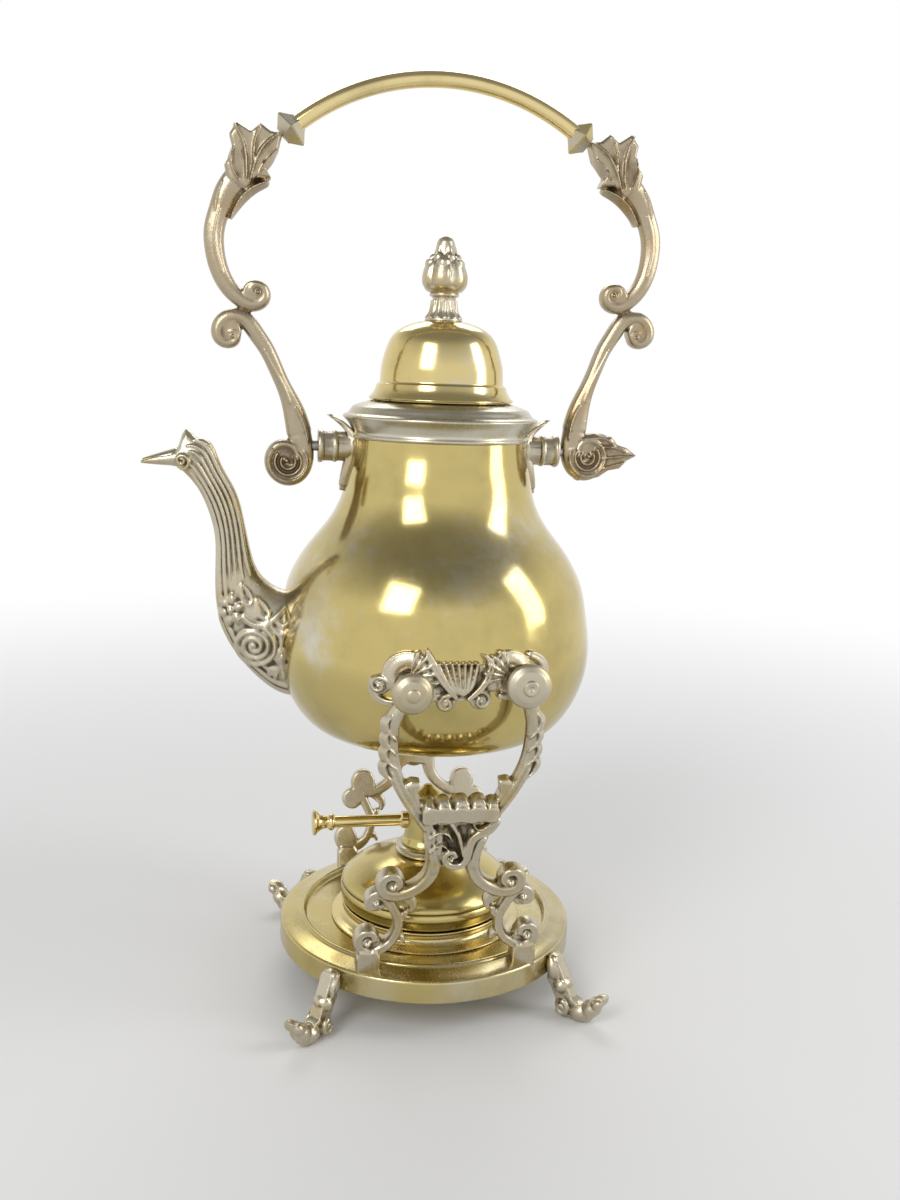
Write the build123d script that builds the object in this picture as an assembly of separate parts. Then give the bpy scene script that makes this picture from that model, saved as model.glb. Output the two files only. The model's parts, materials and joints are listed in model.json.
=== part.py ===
"""Spirit kettle on its stand: a bail-handled kettle hung on two cast yokes over a spirit burner.

Frame: millimetres, +Z up, origin on the table under the centre of the base.
The spout points to -X, the bail stands in the XZ plane, the two cast yokes stand at -Y and +Y.
"""

import math
import os

from build123d import *

# ------------------------------------------------------------------ clearances
side_gap = 0.3             # between faces that slide past each other
pin_clearance = 0.08       # radial running fit of a pin in its bore

# ------------------------------------------------------------------ stand: base tray and feet
rim_radius = 67.7          # outside of the tray's upright band
rim_bottom = 17.8          # height of the band's lower edge over the table
rim_band = 10.1            # height of the upright band
deck_rise = 1.4            # the deck climbs this much from the rim to the bead
bead_radius = 57.3         # raised ring at the inner edge of the deck
bead_size = 1.2
tray_wall = 1.2
floor_drop = 0.8           # the floor lies this much under the rim's upper edge

foot_width = 10.4
foot_reach = 28.8          # the raised toe stands this far out from the rim
foot_phase = 47.0          # direction of the first foot from +X
foot_count = 4

# ------------------------------------------------------------------ burner
tank_radius = 39.4
tank_depth = 16.2          # seam over the tray's floor
tank_rise = 14.0           # domed top, from the seam to the neck
tank_wall = 1.0
seat_wall = 1.1
seat_height = 7.6          # burner seat over the floor
seat_spread = 5.2          # the seat's flange is this much wider than its lip
neck_flange = 14.3
neck_height = 4.4
wick_tube = 4.6
wick_radius = 3.6
wick_rise = 17.2           # wick's end over the neck
cap_radius = 11.8
cap_height = 28.1
cap_wall = 1.0
handle_rise = 11.2         # handle's axis over the neck
handle_radius = 2.7
handle_length = 42.0
handle_flare = 6.0

# ------------------------------------------------------------------ kettle body
hang_height = 135.1        # widest part of the belly over the tray's rim
belly_radius = 69.9
body_depth = 49.0          # from the widest part down to the flat bottom
body_rise = 86.8           # from the widest part up to the collar
body_wall = 1.3
neck_radius = 37.6
ring_radius = 33.2         # foot ring under the bottom
ring_height = 3.6
collar_rise = 8.2
collar_flare = 4.8         # the collar's rim stands this far out from the neck
shoulder_rise = 7.3
collar_wall = 1.1
mouth_radius = 28.9
mouth_lip = 3.6            # turned-down lip inside the mouth

strainer_hole = 1.6
spout_wall = 1.7

# ------------------------------------------------------------------ hanging points
pivot_x = -20.4            # spout-side knob screw, the axis for pouring
pivot_drop = 6.2           # the pivot lies this much under the widest part of the belly
rest_x = 25.4              # far-side knob screw, lifts out of its open notch
rest_rise = 2.4            # the far knob screw stands this much higher than the pivot
shank_radius = 2.8
thread_radius = 2.4
thread_length = 4.0
eye_radius = 6.2           # round eye at the top of a yoke's arm
eye_length = 7.0
eye_stand = 2.5            # eye's inner face stands this far out from the belly
bracket_relief = 3.4       # thickness of the cast bracket on the belly
flute_depth = 1.0          # grooves of the bracket's fans and drape
boss_radius = 5.4
domed_knob = 7.2
stepped_knob = 8.4

# ------------------------------------------------------------------ cast yokes
yoke_stance = 51.5         # distance of the yoke's middle plane from the XZ plane, at the deck
yoke_shift = 1.2           # the yokes stand this much towards the far side
yoke_thickness = 6.4
post_u = 33.7              # middle of a leg's foot, from the yoke's centre line
post_width = 10.2
post_thickness = 8.6
post_height = 10.0
shell_top = 81.0           # height of the shell along the yoke
screw_radius = 1.4
screw_length = 9.0
screw_head = 2.8
screw_head_height = 1.8

# ------------------------------------------------------------------ bail and its ears
bail_drop = 4.8            # the bail's pivot line lies this much under the collar
bail_lean = 2.0            # the bail leans this much towards the spout, degrees
bail_thickness = 8.4
barrel_radius = 7.2
barrel_reach = 15.6        # the barrels reach this far out from the neck
ear_plate = 2.0
ear_half_width = 6.4
bail_pin = 2.2
grip_rise = 151.2          # top of the grip's centre line over the pivot line
grip_bend = 98.0           # radius of the grip's arc
grip_radius = 3.3
grip_bore = 2.3
collar_out = 7.7           # a square collar sits this far outside its barrel's end
collar_half = 8.0          # half diagonal of a square collar
collar_depth = 3.6
spigot_radius = 2.1
spigot_length = 4.0

# ------------------------------------------------------------------ lid
brim_radius = 31.4
flare_top = 28.1
flare_rise = 6.8           # height of the flared brim
dome_radius = 26.6
dome_rise = 27.4
lid_wall = 1.0
bezel_gap = 0.7
bezel_depth = 4.0
hinge_pin = 0.8
knuckle_radius = 1.7
knuckle_gap = 0.15
hinge_length = 15.0
hinge_out = 2.8            # hinge axis outside the brim
finial_rise = 35.0
finial_screw = 1.6

# ------------------------------------------------------------------ heights that follow
deck_height = rim_bottom + rim_band
floor_z = deck_height - floor_drop
seat_lip = tank_radius - 0.6
tank_seam = floor_z + tank_depth
neck_top = tank_seam + tank_rise + neck_height
cap_top = neck_top + side_gap + cap_height
wick_top = neck_top + wick_rise
handle_height = neck_top + handle_rise
belly_height = deck_height + hang_height
body_bottom = belly_height - body_depth
collar_bottom = belly_height + body_rise
collar_radius = neck_radius + collar_flare
collar_height = collar_bottom + collar_rise
mouth_height = collar_height + shoulder_rise
pivot_z = belly_height - pivot_drop
rest_z = pivot_z + rest_rise
eye_inner = belly_radius + eye_stand
bail_axis = collar_bottom - bail_drop
barrel_end = neck_radius + barrel_reach
collar_x = barrel_end + collar_out
brim_z = mouth_height + side_gap
dome_step = brim_z + flare_rise
dome_top = dome_step + dome_rise
finial_top = dome_top + finial_rise
hinge_offset = brim_radius + hinge_out
hinge_z = mouth_height + knuckle_radius - 0.4


# ================================================================== helpers
def offset_points(points, distance):
    """Points moved sideways by distance, to the left of the direction of travel."""
    moved = []
    for i, (r, z) in enumerate(points):
        r0, z0 = points[max(i - 1, 0)]
        r1, z1 = points[min(i + 1, len(points) - 1)]
        length = math.hypot(r1 - r0, z1 - z0)
        moved.append((r - (z1 - z0) / length * distance, z + (r1 - r0) / length * distance))
    return moved


def spun(face):
    """A face drawn in the XZ plane, turned once round the Z axis."""
    return revolve(face, Axis.Z)


def closed_face(points):
    """A face bounded by straight lines, drawn in the XZ plane."""
    return Plane.XZ * make_face(Polyline(*points, close=True))


def spun_wall(points, wall):
    """A spun sheet: a smooth outside through the points, with the wall on its left."""
    inner = offset_points(points, wall)
    edges = Spline(*points) + Line(points[-1], inner[-1]) + Spline(*inner[::-1])
    edges = edges + Line(inner[0], points[0])
    return spun(Plane.XZ * make_face(edges))


def smooth_face(points):
    """A closed outline with one smooth curve through the points."""
    return make_face(Spline(*points, periodic=True))


def ribbon(stations):
    """A curved band: a smooth middle line through (u, v) with its own width at each station."""
    middle = [(u, v) for u, v, _ in stations]
    left = offset_points(middle, 1.0)
    sides = [[], []]
    for (u, v), (lu, lv), (_, _, width) in zip(middle, left, stations):
        sides[0].append((u + (lu - u) * width / 2, v + (lv - v) * width / 2))
        sides[1].append((u - (lu - u) * width / 2, v - (lv - v) * width / 2))
    edges = Spline(*sides[0]) + Line(sides[0][-1], sides[1][-1])
    edges = edges + Spline(*sides[1][::-1]) + Line(sides[1][0], sides[0][0])
    return make_face(edges)


def narrowed(stations, share):
    """The same band with its widths multiplied by a share and its ends cut short."""
    return [(u, v, width * share) for u, v, width in stations[1:-1]]


def spiral_line(u, v, outer, inner, start, turns, width):
    """Stations of a spiral band that winds in from the outer to the inner radius."""
    stations = []
    steps = max(6, round(abs(turns) * 8))
    for i in range(steps + 1):
        share = i / steps
        angle = math.radians(start + 360 * turns * share)
        radius = outer + (inner - outer) * share
        here = (u + radius * math.cos(angle), v + radius * math.sin(angle))
        stations.append((*here, width * (1 - 0.4 * share)))
    return stations


def disc(u, v, radius):
    return Pos(u, v) * Circle(radius)


def plate(face, thickness):
    """A face thickened equally to both sides."""
    return extrude(face, amount=thickness / 2, both=True)


def layer(face, low, high):
    """A face drawn in the XY plane, extruded between two heights."""
    return Pos(0, 0, low) * extrude(face, amount=high - low)


def bar_y(x, z, radius, y0, y1):
    """A round bar along Y between two distances from the XZ plane, on the -Y side."""
    return Pos(x, -(y0 + y1) / 2, z) * Rot(90, 0, 0) * Cylinder(radius, abs(y1 - y0))


def bar_x(x0, x1, radius, y=0.0, z=0.0):
    return Pos((x0 + x1) / 2, y, z) * Rot(0, 90, 0) * Cylinder(radius, abs(x1 - x0))


def bar_z(radius, z0, z1, x=0.0, y=0.0):
    return Pos(x, y, (z0 + z1) / 2) * Cylinder(radius, z1 - z0)


def mirror_y(shape):
    return mirror(shape, about=Plane.XZ)


def largest(shape):
    return shape.solids().sort_by(SortBy.VOLUME)[-1]


def write(shape, name):
    export_step(shape, f"parts/{name}.step")


# ================================================================== base tray
def tray_top():
    """Upper side of the tray as (radius, height) points, from the rim's foot to the centre."""
    outer = bead_radius + bead_size
    inner = bead_radius - bead_size
    step = deck_height + deck_rise
    crest = step + bead_size
    return [
        (rim_radius, rim_bottom),
        (rim_radius, deck_height - 1.0),
        (rim_radius - 0.3, deck_height - 0.3),
        (rim_radius - 1.0, deck_height),
        (outer + 0.4, step),
        (outer, step + 0.6 * bead_size),
        (bead_radius + 0.4 * bead_size, crest),
        (bead_radius - 0.4 * bead_size, crest),
        (inner, step + 0.6 * bead_size),
        (inner, floor_z + 0.4),
        (inner - 0.4, floor_z),
        (0.0, floor_z),
    ]


def tray_filled():
    """All that lies under the tray's upper side, for seating what stands on it."""
    return spun(closed_face(tray_top() + [(0.0, rim_bottom)]))


def base_tray():
    underside = offset_points(tray_top()[2:-1], tray_wall)
    band = (rim_radius - tray_wall, rim_bottom)
    inside = [(0.0, floor_z - tray_wall)] + underside[::-1] + [band]
    tray = spun(closed_face(tray_top() + inside))
    for sign in (-1, 1):
        for x in post_places():
            tray -= bar_z(screw_radius, rim_bottom, deck_height + 5, x, sign * yoke_stance)
    return tray


def burner_seat():
    """Spun ring on the tray's floor: a flange, a waist and a rolled lip that holds the tank."""
    outer = [
        (seat_lip + seat_spread, floor_z + seat_wall),
        (seat_lip + 0.3 * seat_spread, floor_z + seat_wall + 0.12 * seat_height),
        (seat_lip - 0.7, floor_z + 0.55 * seat_height),
        (seat_lip, floor_z + seat_height),
    ]
    inner = [
        (seat_lip - seat_wall, floor_z + seat_height),
        (seat_lip - 0.7 - seat_wall, floor_z + 0.55 * seat_height),
        (seat_lip - 0.4, floor_z),
        (seat_lip + seat_spread, floor_z),
    ]
    edges = Spline(*outer) + Line(outer[-1], inner[0]) + Spline(*inner[:3])
    edges = edges + Line(inner[2], inner[3]) + Line(inner[3], outer[0])
    return spun(Plane.XZ * make_face(edges))


# ================================================================== feet
def foot(angle):
    """A cast scroll foot: a leaf against the rim, a knop, a heel and an upturned toe."""
    rise = rim_bottom
    toe = rim_radius + foot_reach
    reach = foot_reach
    side = [
        (rim_radius - 1.5, 0.86 * rise),
        (rim_radius - 0.4, deck_height - 5.0),
        (rim_radius + 0.6, deck_height + 0.4),
        (rim_radius + 2.8, deck_height + 1.2),
        (rim_radius + 5.4, deck_height - 2.6),
        (rim_radius + 6.2, deck_height - 7.4),
        (rim_radius + 5.6, 0.98 * rise),
        (rim_radius + 9.4, 0.86 * rise),
        (rim_radius + 0.43 * reach, 0.66 * rise),
        (rim_radius + 0.43 * reach, 0.52 * rise),
        (rim_radius + 0.56 * reach, 0.46 * rise),
        (rim_radius + 0.68 * reach, 0.58 * rise),
        (rim_radius + 0.86 * reach, 0.74 * rise),
        (toe, 0.84 * rise),
        (toe - 1.2, 0.60 * rise),
        (toe - 0.15 * reach, 0.33 * rise),
        (toe - 0.24 * reach, 0.08 * rise),
        (toe - 0.36 * reach, -0.6),
        (rim_radius + 0.34 * reach, -0.6),
        (rim_radius + 0.16 * reach, 0.5),
        (rim_radius + 0.13 * reach, 0.22 * rise),
        (rim_radius + 0.17 * reach, 0.42 * rise),
        (rim_radius + 0.07 * reach, 0.60 * rise),
    ]
    upper = Line(side[0], side[1]) + Spline(*side[1:14])
    lower = Spline(*side[13:19]) + Spline(*side[18:]) + Line(side[-1], side[0])
    blade = extrude(Plane.XZ * make_face(upper + lower), amount=foot_width, both=True)
    half = foot_width / 2
    front = [
        (0.0, deck_height + 1.4),
        (0.74 * half, deck_height - 0.6),
        (half - 0.6, deck_height - 5.0),
        (0.80 * half, 1.02 * rise),
        (0.62 * half, 0.88 * rise),
        (0.95 * half, 0.72 * rise),
        (0.62 * half, 0.50 * rise),
        (half, 0.26 * rise),
        (0.86 * half, 0.02 * rise),
        (0.0, -1.4),
    ]
    outline = front + [(-y, z) for y, z in front[-2:0:-1]]
    shape = blade & extrude(Plane.YZ * smooth_face(outline), amount=toe + 10)
    plan = [
        (rim_radius - 4, half), (rim_radius + 0.36 * reach, half), (rim_radius + 0.58 * reach, 0.7 * half),
        (rim_radius + 0.78 * reach, 0.94 * half), (toe - 0.06 * reach, 0.72 * half), (toe + 1, 0.1 * half),
    ]
    outline = plan + [(x, -y) for x, y in plan[::-1]]
    shape &= extrude(make_face(Polyline(*outline, close=True)), amount=deck_height + 5, both=True)
    shape -= bar_z(rim_radius, rim_bottom, deck_height + 5)
    floor = Pos(toe, 0, -5) * Box(80, 80, 10)
    return Rot(0, 0, angle) * (shape - floor)


# ================================================================== cast yokes
eye_middle = eye_inner + eye_length / 2
yoke_lean = math.atan((eye_middle + 0.6 - yoke_stance) / (pivot_z - deck_height))
yoke_plane = Plane(
    origin=(yoke_shift, -yoke_stance, deck_height),
    x_dir=(1, 0, 0),
    z_dir=(0, -math.cos(yoke_lean), -math.sin(yoke_lean)),
)
scroll_low = (post_u - 0.1, 15.6, 5.2)      # (u, v, radius) of a leg's three scroll eyes
scroll_mid = (30.9, 35.0, 4.1)
scroll_high = (24.2, 41.4, 5.8)
volute = (0.2, 56.0, 5.2)


def post_places():
    return (yoke_shift - post_u, yoke_shift + post_u)


def along_yoke(z):
    """Distance along the leaning yoke of a point at world height z."""
    return (z - deck_height) / math.cos(yoke_lean)


c_scroll = [
    (post_u - 3.6, 10.6, 4.4), (25.4, 12.5, 3.5), (21.8, 17.0, 3.2), (20.9, 22.4, 3.2),
    (22.1, 28.2, 3.4), (25.4, 32.8, 3.8), (30.2, 34.8, 4.6),
]
stem = [
    (24.6, 38.2, 5.2), (18.0, 38.9, 5.8), (12.4, 42.6, 6.2), (9.2, 48.6, 6.2),
    (8.0, 57.0, 7.0), (7.6, 66.0, 8.4),
]


def arm_line(end_u, end_v):
    """Stations of one arm, for u > 0, from the shell's corner up to its eye."""
    rise = end_v - shell_top
    shares = [
        (13.6, -0.13, 6.4), (18.4, -0.05, 5.4), (22.0, 0.06, 5.2), (25.0, 0.18, 5.6),
        (27.2, 0.30, 5.4), (28.5, 0.42, 5.6), (28.8, 0.54, 6.0), (28.2, 0.68, 6.4),
    ]
    line = [(u, shell_top + share * rise, width) for u, share, width in shares]
    return line + [(end_u + 4.4, end_v - 9.6, 6.0), (end_u + 0.8, end_v - 3.4, 5.8)]


def scroll_faces():
    return disc(*scroll_low) + disc(*scroll_mid) + disc(*scroll_high)


def leaf_faces(line):
    """The inner leaf at an arm's root and the four leaf tips on its outer edge."""
    u, v, _ = line[2]
    leaf = make_face(Polyline(
        (u - 8.6, v - 5.4), (u - 3.2, v + 5.0), (u - 0.4, v + 7.0), (u + 2.6, v + 5.4), (u, v - 2),
        close=True))
    for (u0, v0, w0), (u1, v1, w1) in zip(line[3:7], line[4:8]):
        tip = ((u0 + u1 + w0 + w1) / 2 - 1.4, (v0 + v1) / 2 + 2.2)
        leaf += make_face(Polyline((u0 + 1, v0 - 1), (u0 + w0 / 2 + 0.6, v0 + 0.6), tip, (u1, v1), close=True))
    return leaf


def yoke():
    """The front yoke. Its back is flat, its front carries the shell and the rolled scrolls."""
    half = yoke_thickness / 2
    eyes = {1: (rest_x - yoke_shift, along_yoke(rest_z)), -1: (yoke_shift - pivot_x, along_yoke(pivot_z))}
    shell_low = make_face(
        Spline((-14.6, shell_top - 3.0), (-12.0, 72.0), (-10.2, 64.0), (-7.6, 55.0))
        + Spline((-7.6, 55.0), (0.0, 50.6), (7.6, 55.0))
        + Spline((7.6, 55.0), (10.2, 64.0), (12.0, 72.0), (14.6, shell_top - 3.0))
        + Line((14.6, shell_top - 3.0), (-14.6, shell_top - 3.0))
    )
    cast = layer(shell_low, -half, half - 0.8)
    for sign, (end_u, end_v) in eyes.items():
        arm = arm_line(end_u, end_v)
        leg = ribbon(c_scroll) + ribbon(stem) + scroll_faces()
        side = layer(leg + ribbon(arm) + leaf_faces(arm), -half, half)
        for stations in (c_scroll, stem, arm):
            side -= layer(ribbon(narrowed(stations, 0.42)), half - 0.9, half + 1)
        for u, v, radius in (scroll_low, scroll_mid, scroll_high):
            roll = layer(disc(u, v, radius - 0.5), 0, half + 1.6)
            turns = spiral_line(u, v, radius - 1.9, 0.9, 200, 1.2, 0.9)
            side += roll - layer(ribbon(turns), half + 0.4, half + 3)
        side += layer(Pos(post_u, post_height / 2 - 1) * Rectangle(post_width, post_height + 2),
                      -post_thickness / 2, post_thickness / 2)
        cast += side if sign > 0 else mirror(side, about=Plane.YZ)
    ledge = Pos(0, shell_top - 3.2) * Rectangle(33.0, 4.4)
    for i in range(-2, 3):
        ledge += disc(6.1 * i, shell_top - 2.6, 3.4)
    for i in range(-2, 2):
        ledge -= disc(6.1 * (i + 0.5), shell_top + 2.6, 1.8)
    cast += layer(ledge, -half, half + 2.2)
    for i in range(-2, 3):
        flute = ribbon([(6.1 * i, shell_top - 4.0, 5.4), (3.9 * i, 70.0, 4.0), (1.8 * i, 61.0, 2.4)])
        cast += layer(flute, 0, half + 0.9)
    cast += layer(disc(*volute), 0, half + 2.4)
    cast -= layer(ribbon(spiral_line(volute[0], volute[1], 3.6, 1.0, 20, 1.3, 1.0)), half + 1.0, half + 4)
    cast = yoke_plane * cast
    for x, z in ((pivot_x, pivot_z), (rest_x, rest_z)):
        cast += bar_y(x, z, eye_radius, eye_inner, eye_inner + eye_length)
    cast -= Pos(0, -eye_inner + 50, (pivot_z + rest_z) / 2) * Box(120, 100, 30)
    reach = (eye_inner - 10, eye_inner + eye_length + 10)
    bore = shank_radius + pin_clearance
    for x, z in ((pivot_x, pivot_z), (rest_x, rest_z)):
        cast -= bar_y(x, z, bore, *reach)
    cast -= notch(bore, reach)
    for x in post_places():
        top = floor_z - tray_wall + screw_length + 0.2
        cast -= bar_z(screw_radius, 0, top, x, -yoke_stance)
    return largest(cast - tray_filled())


def notch(bore, reach):
    """Upward opening over the far eye, wider on the side to which the rising screw swings."""
    top = 2 * eye_radius
    swing = (rest_x - pivot_x) - math.sqrt((rest_x - pivot_x) ** 2 - top**2)
    outline = [
        (rest_x - bore, rest_z), (rest_x + bore, rest_z), (rest_x + bore, rest_z + top),
        (rest_x - bore - swing - 0.3, rest_z + top),
    ]
    return extrude(Plane.XZ * make_face(Polyline(*outline, close=True)), amount=reach[1])


def yoke_screws():
    screws = []
    head_z = floor_z - tray_wall
    for sign in (-1, 1):
        for x in post_places():
            shank = bar_z(screw_radius, head_z, head_z + screw_length, x, sign * yoke_stance)
            head = bar_z(screw_head, head_z - screw_head_height, head_z, x, sign * yoke_stance)
            slot = Pos(x, sign * yoke_stance, head_z - screw_head_height) * Box(2 * screw_head, 0.7, 1.0)
            washer = bar_z(screw_head, head_z, deck_height, x, sign * yoke_stance) - tray_filled()
            screws.append(shank + head - slot - washer)
    return Compound(children=screws)


# ================================================================== kettle body
def body_points():
    """Outside of the spun body as (radius, height) points, from the bottom to the collar."""
    low = body_depth
    high = body_rise
    swell = belly_radius - neck_radius
    return [
        (belly_radius - 28.0, body_bottom),
        (belly_radius - 21.4, body_bottom + 0.055 * low),
        (belly_radius - 14.4, body_bottom + 0.15 * low),
        (belly_radius - 7.6, body_bottom + 0.32 * low),
        (belly_radius - 2.4, body_bottom + 0.58 * low),
        (belly_radius, belly_height),
        (belly_radius - 0.07 * swell, belly_height + 0.22 * high),
        (neck_radius + 0.70 * swell, belly_height + 0.44 * high),
        (neck_radius + 0.30 * swell, belly_height + 0.585 * high),
        (neck_radius + 0.10 * swell, belly_height + 0.70 * high),
        (neck_radius + 0.02 * swell, belly_height + 0.86 * high),
        (neck_radius, collar_bottom),
    ]


def body_solid():
    """The body's outside as a filled solid, used to seat what lies on it."""
    points = body_points()
    edges = Line((0, points[0][1]), points[0]) + Spline(*points)
    edges = edges + Line(points[-1], (0, points[-1][1])) + Line((0, points[-1][1]), (0, points[0][1]))
    return spun(Plane.XZ * make_face(edges))


def grown_body(thickness):
    """The body's outside grown by an even thickness, filled."""
    points = offset_points(body_points(), -thickness)
    edges = Line((0, points[0][1]), points[0]) + Spline(*points)
    edges = edges + Line(points[-1], (0, points[-1][1])) + Line((0, points[-1][1]), (0, points[0][1]))
    return spun(Plane.XZ * make_face(edges))


def kettle_body():
    shell = spun_wall(body_points(), body_wall)
    shell += bar_z(body_points()[0][0], body_bottom, body_bottom + body_wall)
    for ring, count in ((0, 1), (5.4, 6), (10.6, 11)):
        for i in range(count):
            turn = 2 * math.pi * i / count
            y = ring * math.cos(turn)
            z = belly_height + spout_stations[0][1] + ring * math.sin(turn)
            shell -= bar_x(-belly_radius - 5, -belly_radius + 15, strainer_hole, y, z)
    return shell


def kettle_foot_ring():
    """Low moulded ring soldered under the flat bottom."""
    bottom = body_bottom - ring_height
    top = body_bottom + 1.0
    ring = spun(closed_face([
        (ring_radius - 2.6, top), (ring_radius - 2.2, bottom + 0.6),
        (ring_radius - 1.6, bottom), (ring_radius - 0.4, bottom),
        (ring_radius, bottom + 0.7), (ring_radius + 0.3, body_bottom - 1.0),
        (ring_radius + 1.6, top),
    ]))
    return ring - body_solid()


def mouth_collar():
    """Flared collar with the shoulder that carries the lid, spun in one piece."""
    rise = collar_rise
    flare = collar_flare
    drop = shoulder_rise
    outer = [
        (neck_radius, collar_bottom - 1.2),
        (neck_radius + 1.2, collar_bottom - 0.6),
        (neck_radius + 1.0, collar_bottom + 0.25 * rise),
        (neck_radius + 0.55 * flare, collar_bottom + 0.7 * rise),
        (collar_radius, collar_height),
    ]
    shoulder = [
        (collar_radius, collar_height),
        (collar_radius - 0.9, collar_height + 0.17 * drop),
        (collar_radius - 4.2, collar_height + 0.53 * drop),
        (collar_radius - 8.0, collar_height + 0.80 * drop),
        (brim_radius, mouth_height),
        (mouth_radius, mouth_height),
        (mouth_radius, mouth_height - mouth_lip),
        (mouth_radius + collar_wall, mouth_height - mouth_lip),
        (mouth_radius + collar_wall, mouth_height - collar_wall),
        (brim_radius, mouth_height - collar_wall),
        (collar_radius - 8.0, collar_height + 0.80 * drop - collar_wall),
        (collar_radius - 4.2, collar_height + 0.53 * drop - collar_wall),
        (collar_radius - 1.9, collar_height - 0.1),
        (neck_radius, collar_bottom + 0.6 * rise),
        (neck_radius, collar_bottom - 1.2),
    ]
    edges = Spline(*outer) + Spline(*shoulder[:5]) + Polyline(*shoulder[4:])
    return spun(Plane.XZ * make_face(edges)) - body_solid()


# ================================================================== spout
# from the belly's side: out, up, half height in the XZ plane, half width, direction of the section
spout_stations = [
    (-11.9, -5.7, 25.0, 15.6, 180.0),
    (-3.4, -4.4, 23.6, 14.6, 175.0),
    (6.8, 2.0, 20.4, 12.8, 166.0),
    (16.1, 14.6, 15.9, 10.6, 150.0),
    (19.3, 30.3, 11.0, 8.8, 133.0),
    (20.5, 45.2, 8.0, 7.6, 121.0),
    (24.3, 59.3, 7.7, 7.0, 122.5),
    (29.9, 69.8, 8.0, 6.8, 134.0),
    (36.9, 77.6, 8.6, 6.4, 150.0),
    (42.7, 78.6, 7.2, 5.6, 168.0),
]
beak_throat = (48.7, 78.2)
beak_bridge = (49.1, 75.4)
beak_tip = (58.1, 74.0)
beak_mouth = [(59.1, 75.0), (52.1, 77.6), (45.6, 80.4), (40.7, 87.6)]
beak_crest = 100.0


def spout_point(out, up):
    return (-(belly_radius + out), belly_height + up)


def spout_section(out, up, high, wide, angle):
    """Oval section of the spout, as two matching halves so that lofts keep their seams."""
    x, z = spout_point(out, up)
    turn = math.radians(angle - 90)
    rise = Vector(math.cos(turn), 0, math.sin(turn))
    centre = Vector(x, 0, z)
    steps = 8
    rim = []
    for i in range(2 * steps + 1):
        a = math.pi * i / steps
        rim.append(centre + rise * (high * math.sin(a)) + Vector(0, wide * math.cos(a), 0))
    upper = Spline(*rim[: steps + 1], tangents=(rise, -rise))
    lower = Spline(*rim[steps:], tangents=(-rise, rise))
    return make_face(upper + lower)


def spout_body(inset):
    faces = [
        spout_section(out, up, high - inset, wide - inset, angle)
        for out, up, high, wide, angle in spout_stations
    ]
    return loft(faces)


def spout():
    """Cast spout with an open bird's beak, bored through and fitted to the belly."""
    last = spout_stations[-1]
    out, up, high, wide, angle = last
    lip = loft([
        spout_section(*last),
        spout_section(*beak_bridge, 3.6, 4.2, 176.0),
        spout_section(*beak_tip, 1.0, 1.6, 184.0),
    ])
    cast = spout_body(0.0) + lip
    cut = [spout_point(*p) for p in beak_mouth]
    above = belly_height + beak_crest
    mouth = Spline(*cut) + Polyline(cut[-1], (cut[-1][0] - 0.4, above), (cut[0][0], above), cut[0])
    cast -= plate(Plane.XZ * make_face(mouth), 6 * wide)
    throat = loft([
        spout_section(out, up + 0.6, high - spout_wall, wide - spout_wall, angle),
        spout_section(*beak_throat, 3.2, 2.8, 176.0),
    ])
    return largest(cast - spout_body(spout_wall) - throat - body_solid())


# ================================================================== cast brackets and knob screws
left_fan = (pivot_x, pivot_z + 3.9, 10.6)       # (x, z, radius) of the two fans
right_fan = (rest_x - 7.0, rest_z + 2.4, 10.2)
bracket_scrolls = [
    (pivot_x + 13.7, pivot_z - 5.8, 4.9), (rest_x - 17.6, rest_z - 7.4, 4.8),
    (pivot_x - 10.8, pivot_z + 2.4, 4.6), (pivot_x - 9.4, pivot_z - 4.2, 3.4),
    (rest_x + 7.8, rest_z - 4.6, 4.4), (rest_x + 9.4, rest_z + 2.8, 2.8),
]


def bracket_outline():
    """The bracket seen from the front: two fans, a ribbed drape between them and their scrolls."""
    middle = (pivot_x + rest_x) / 2
    level = pivot_z + 2.4
    face = disc(*left_fan) + disc(*right_fan) + Pos(middle, level) * Rectangle(31.0, 13.0)
    for i in range(-2, 3):
        face += disc(middle - 2.4 + 3.7 * i, level + 6.6, 1.9)
    for u, v, radius in bracket_scrolls:
        face += disc(u, v, radius)
    return face + Pos(rest_x, rest_z - 2.0) * Rectangle(15.0, 10.0)


def carved(face, depth):
    """Cutting tool for a groove of even depth in the bracket's face."""
    return extrude(Plane.XZ * face, amount=belly_radius + 20) - grown_body(bracket_relief - depth)


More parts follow.
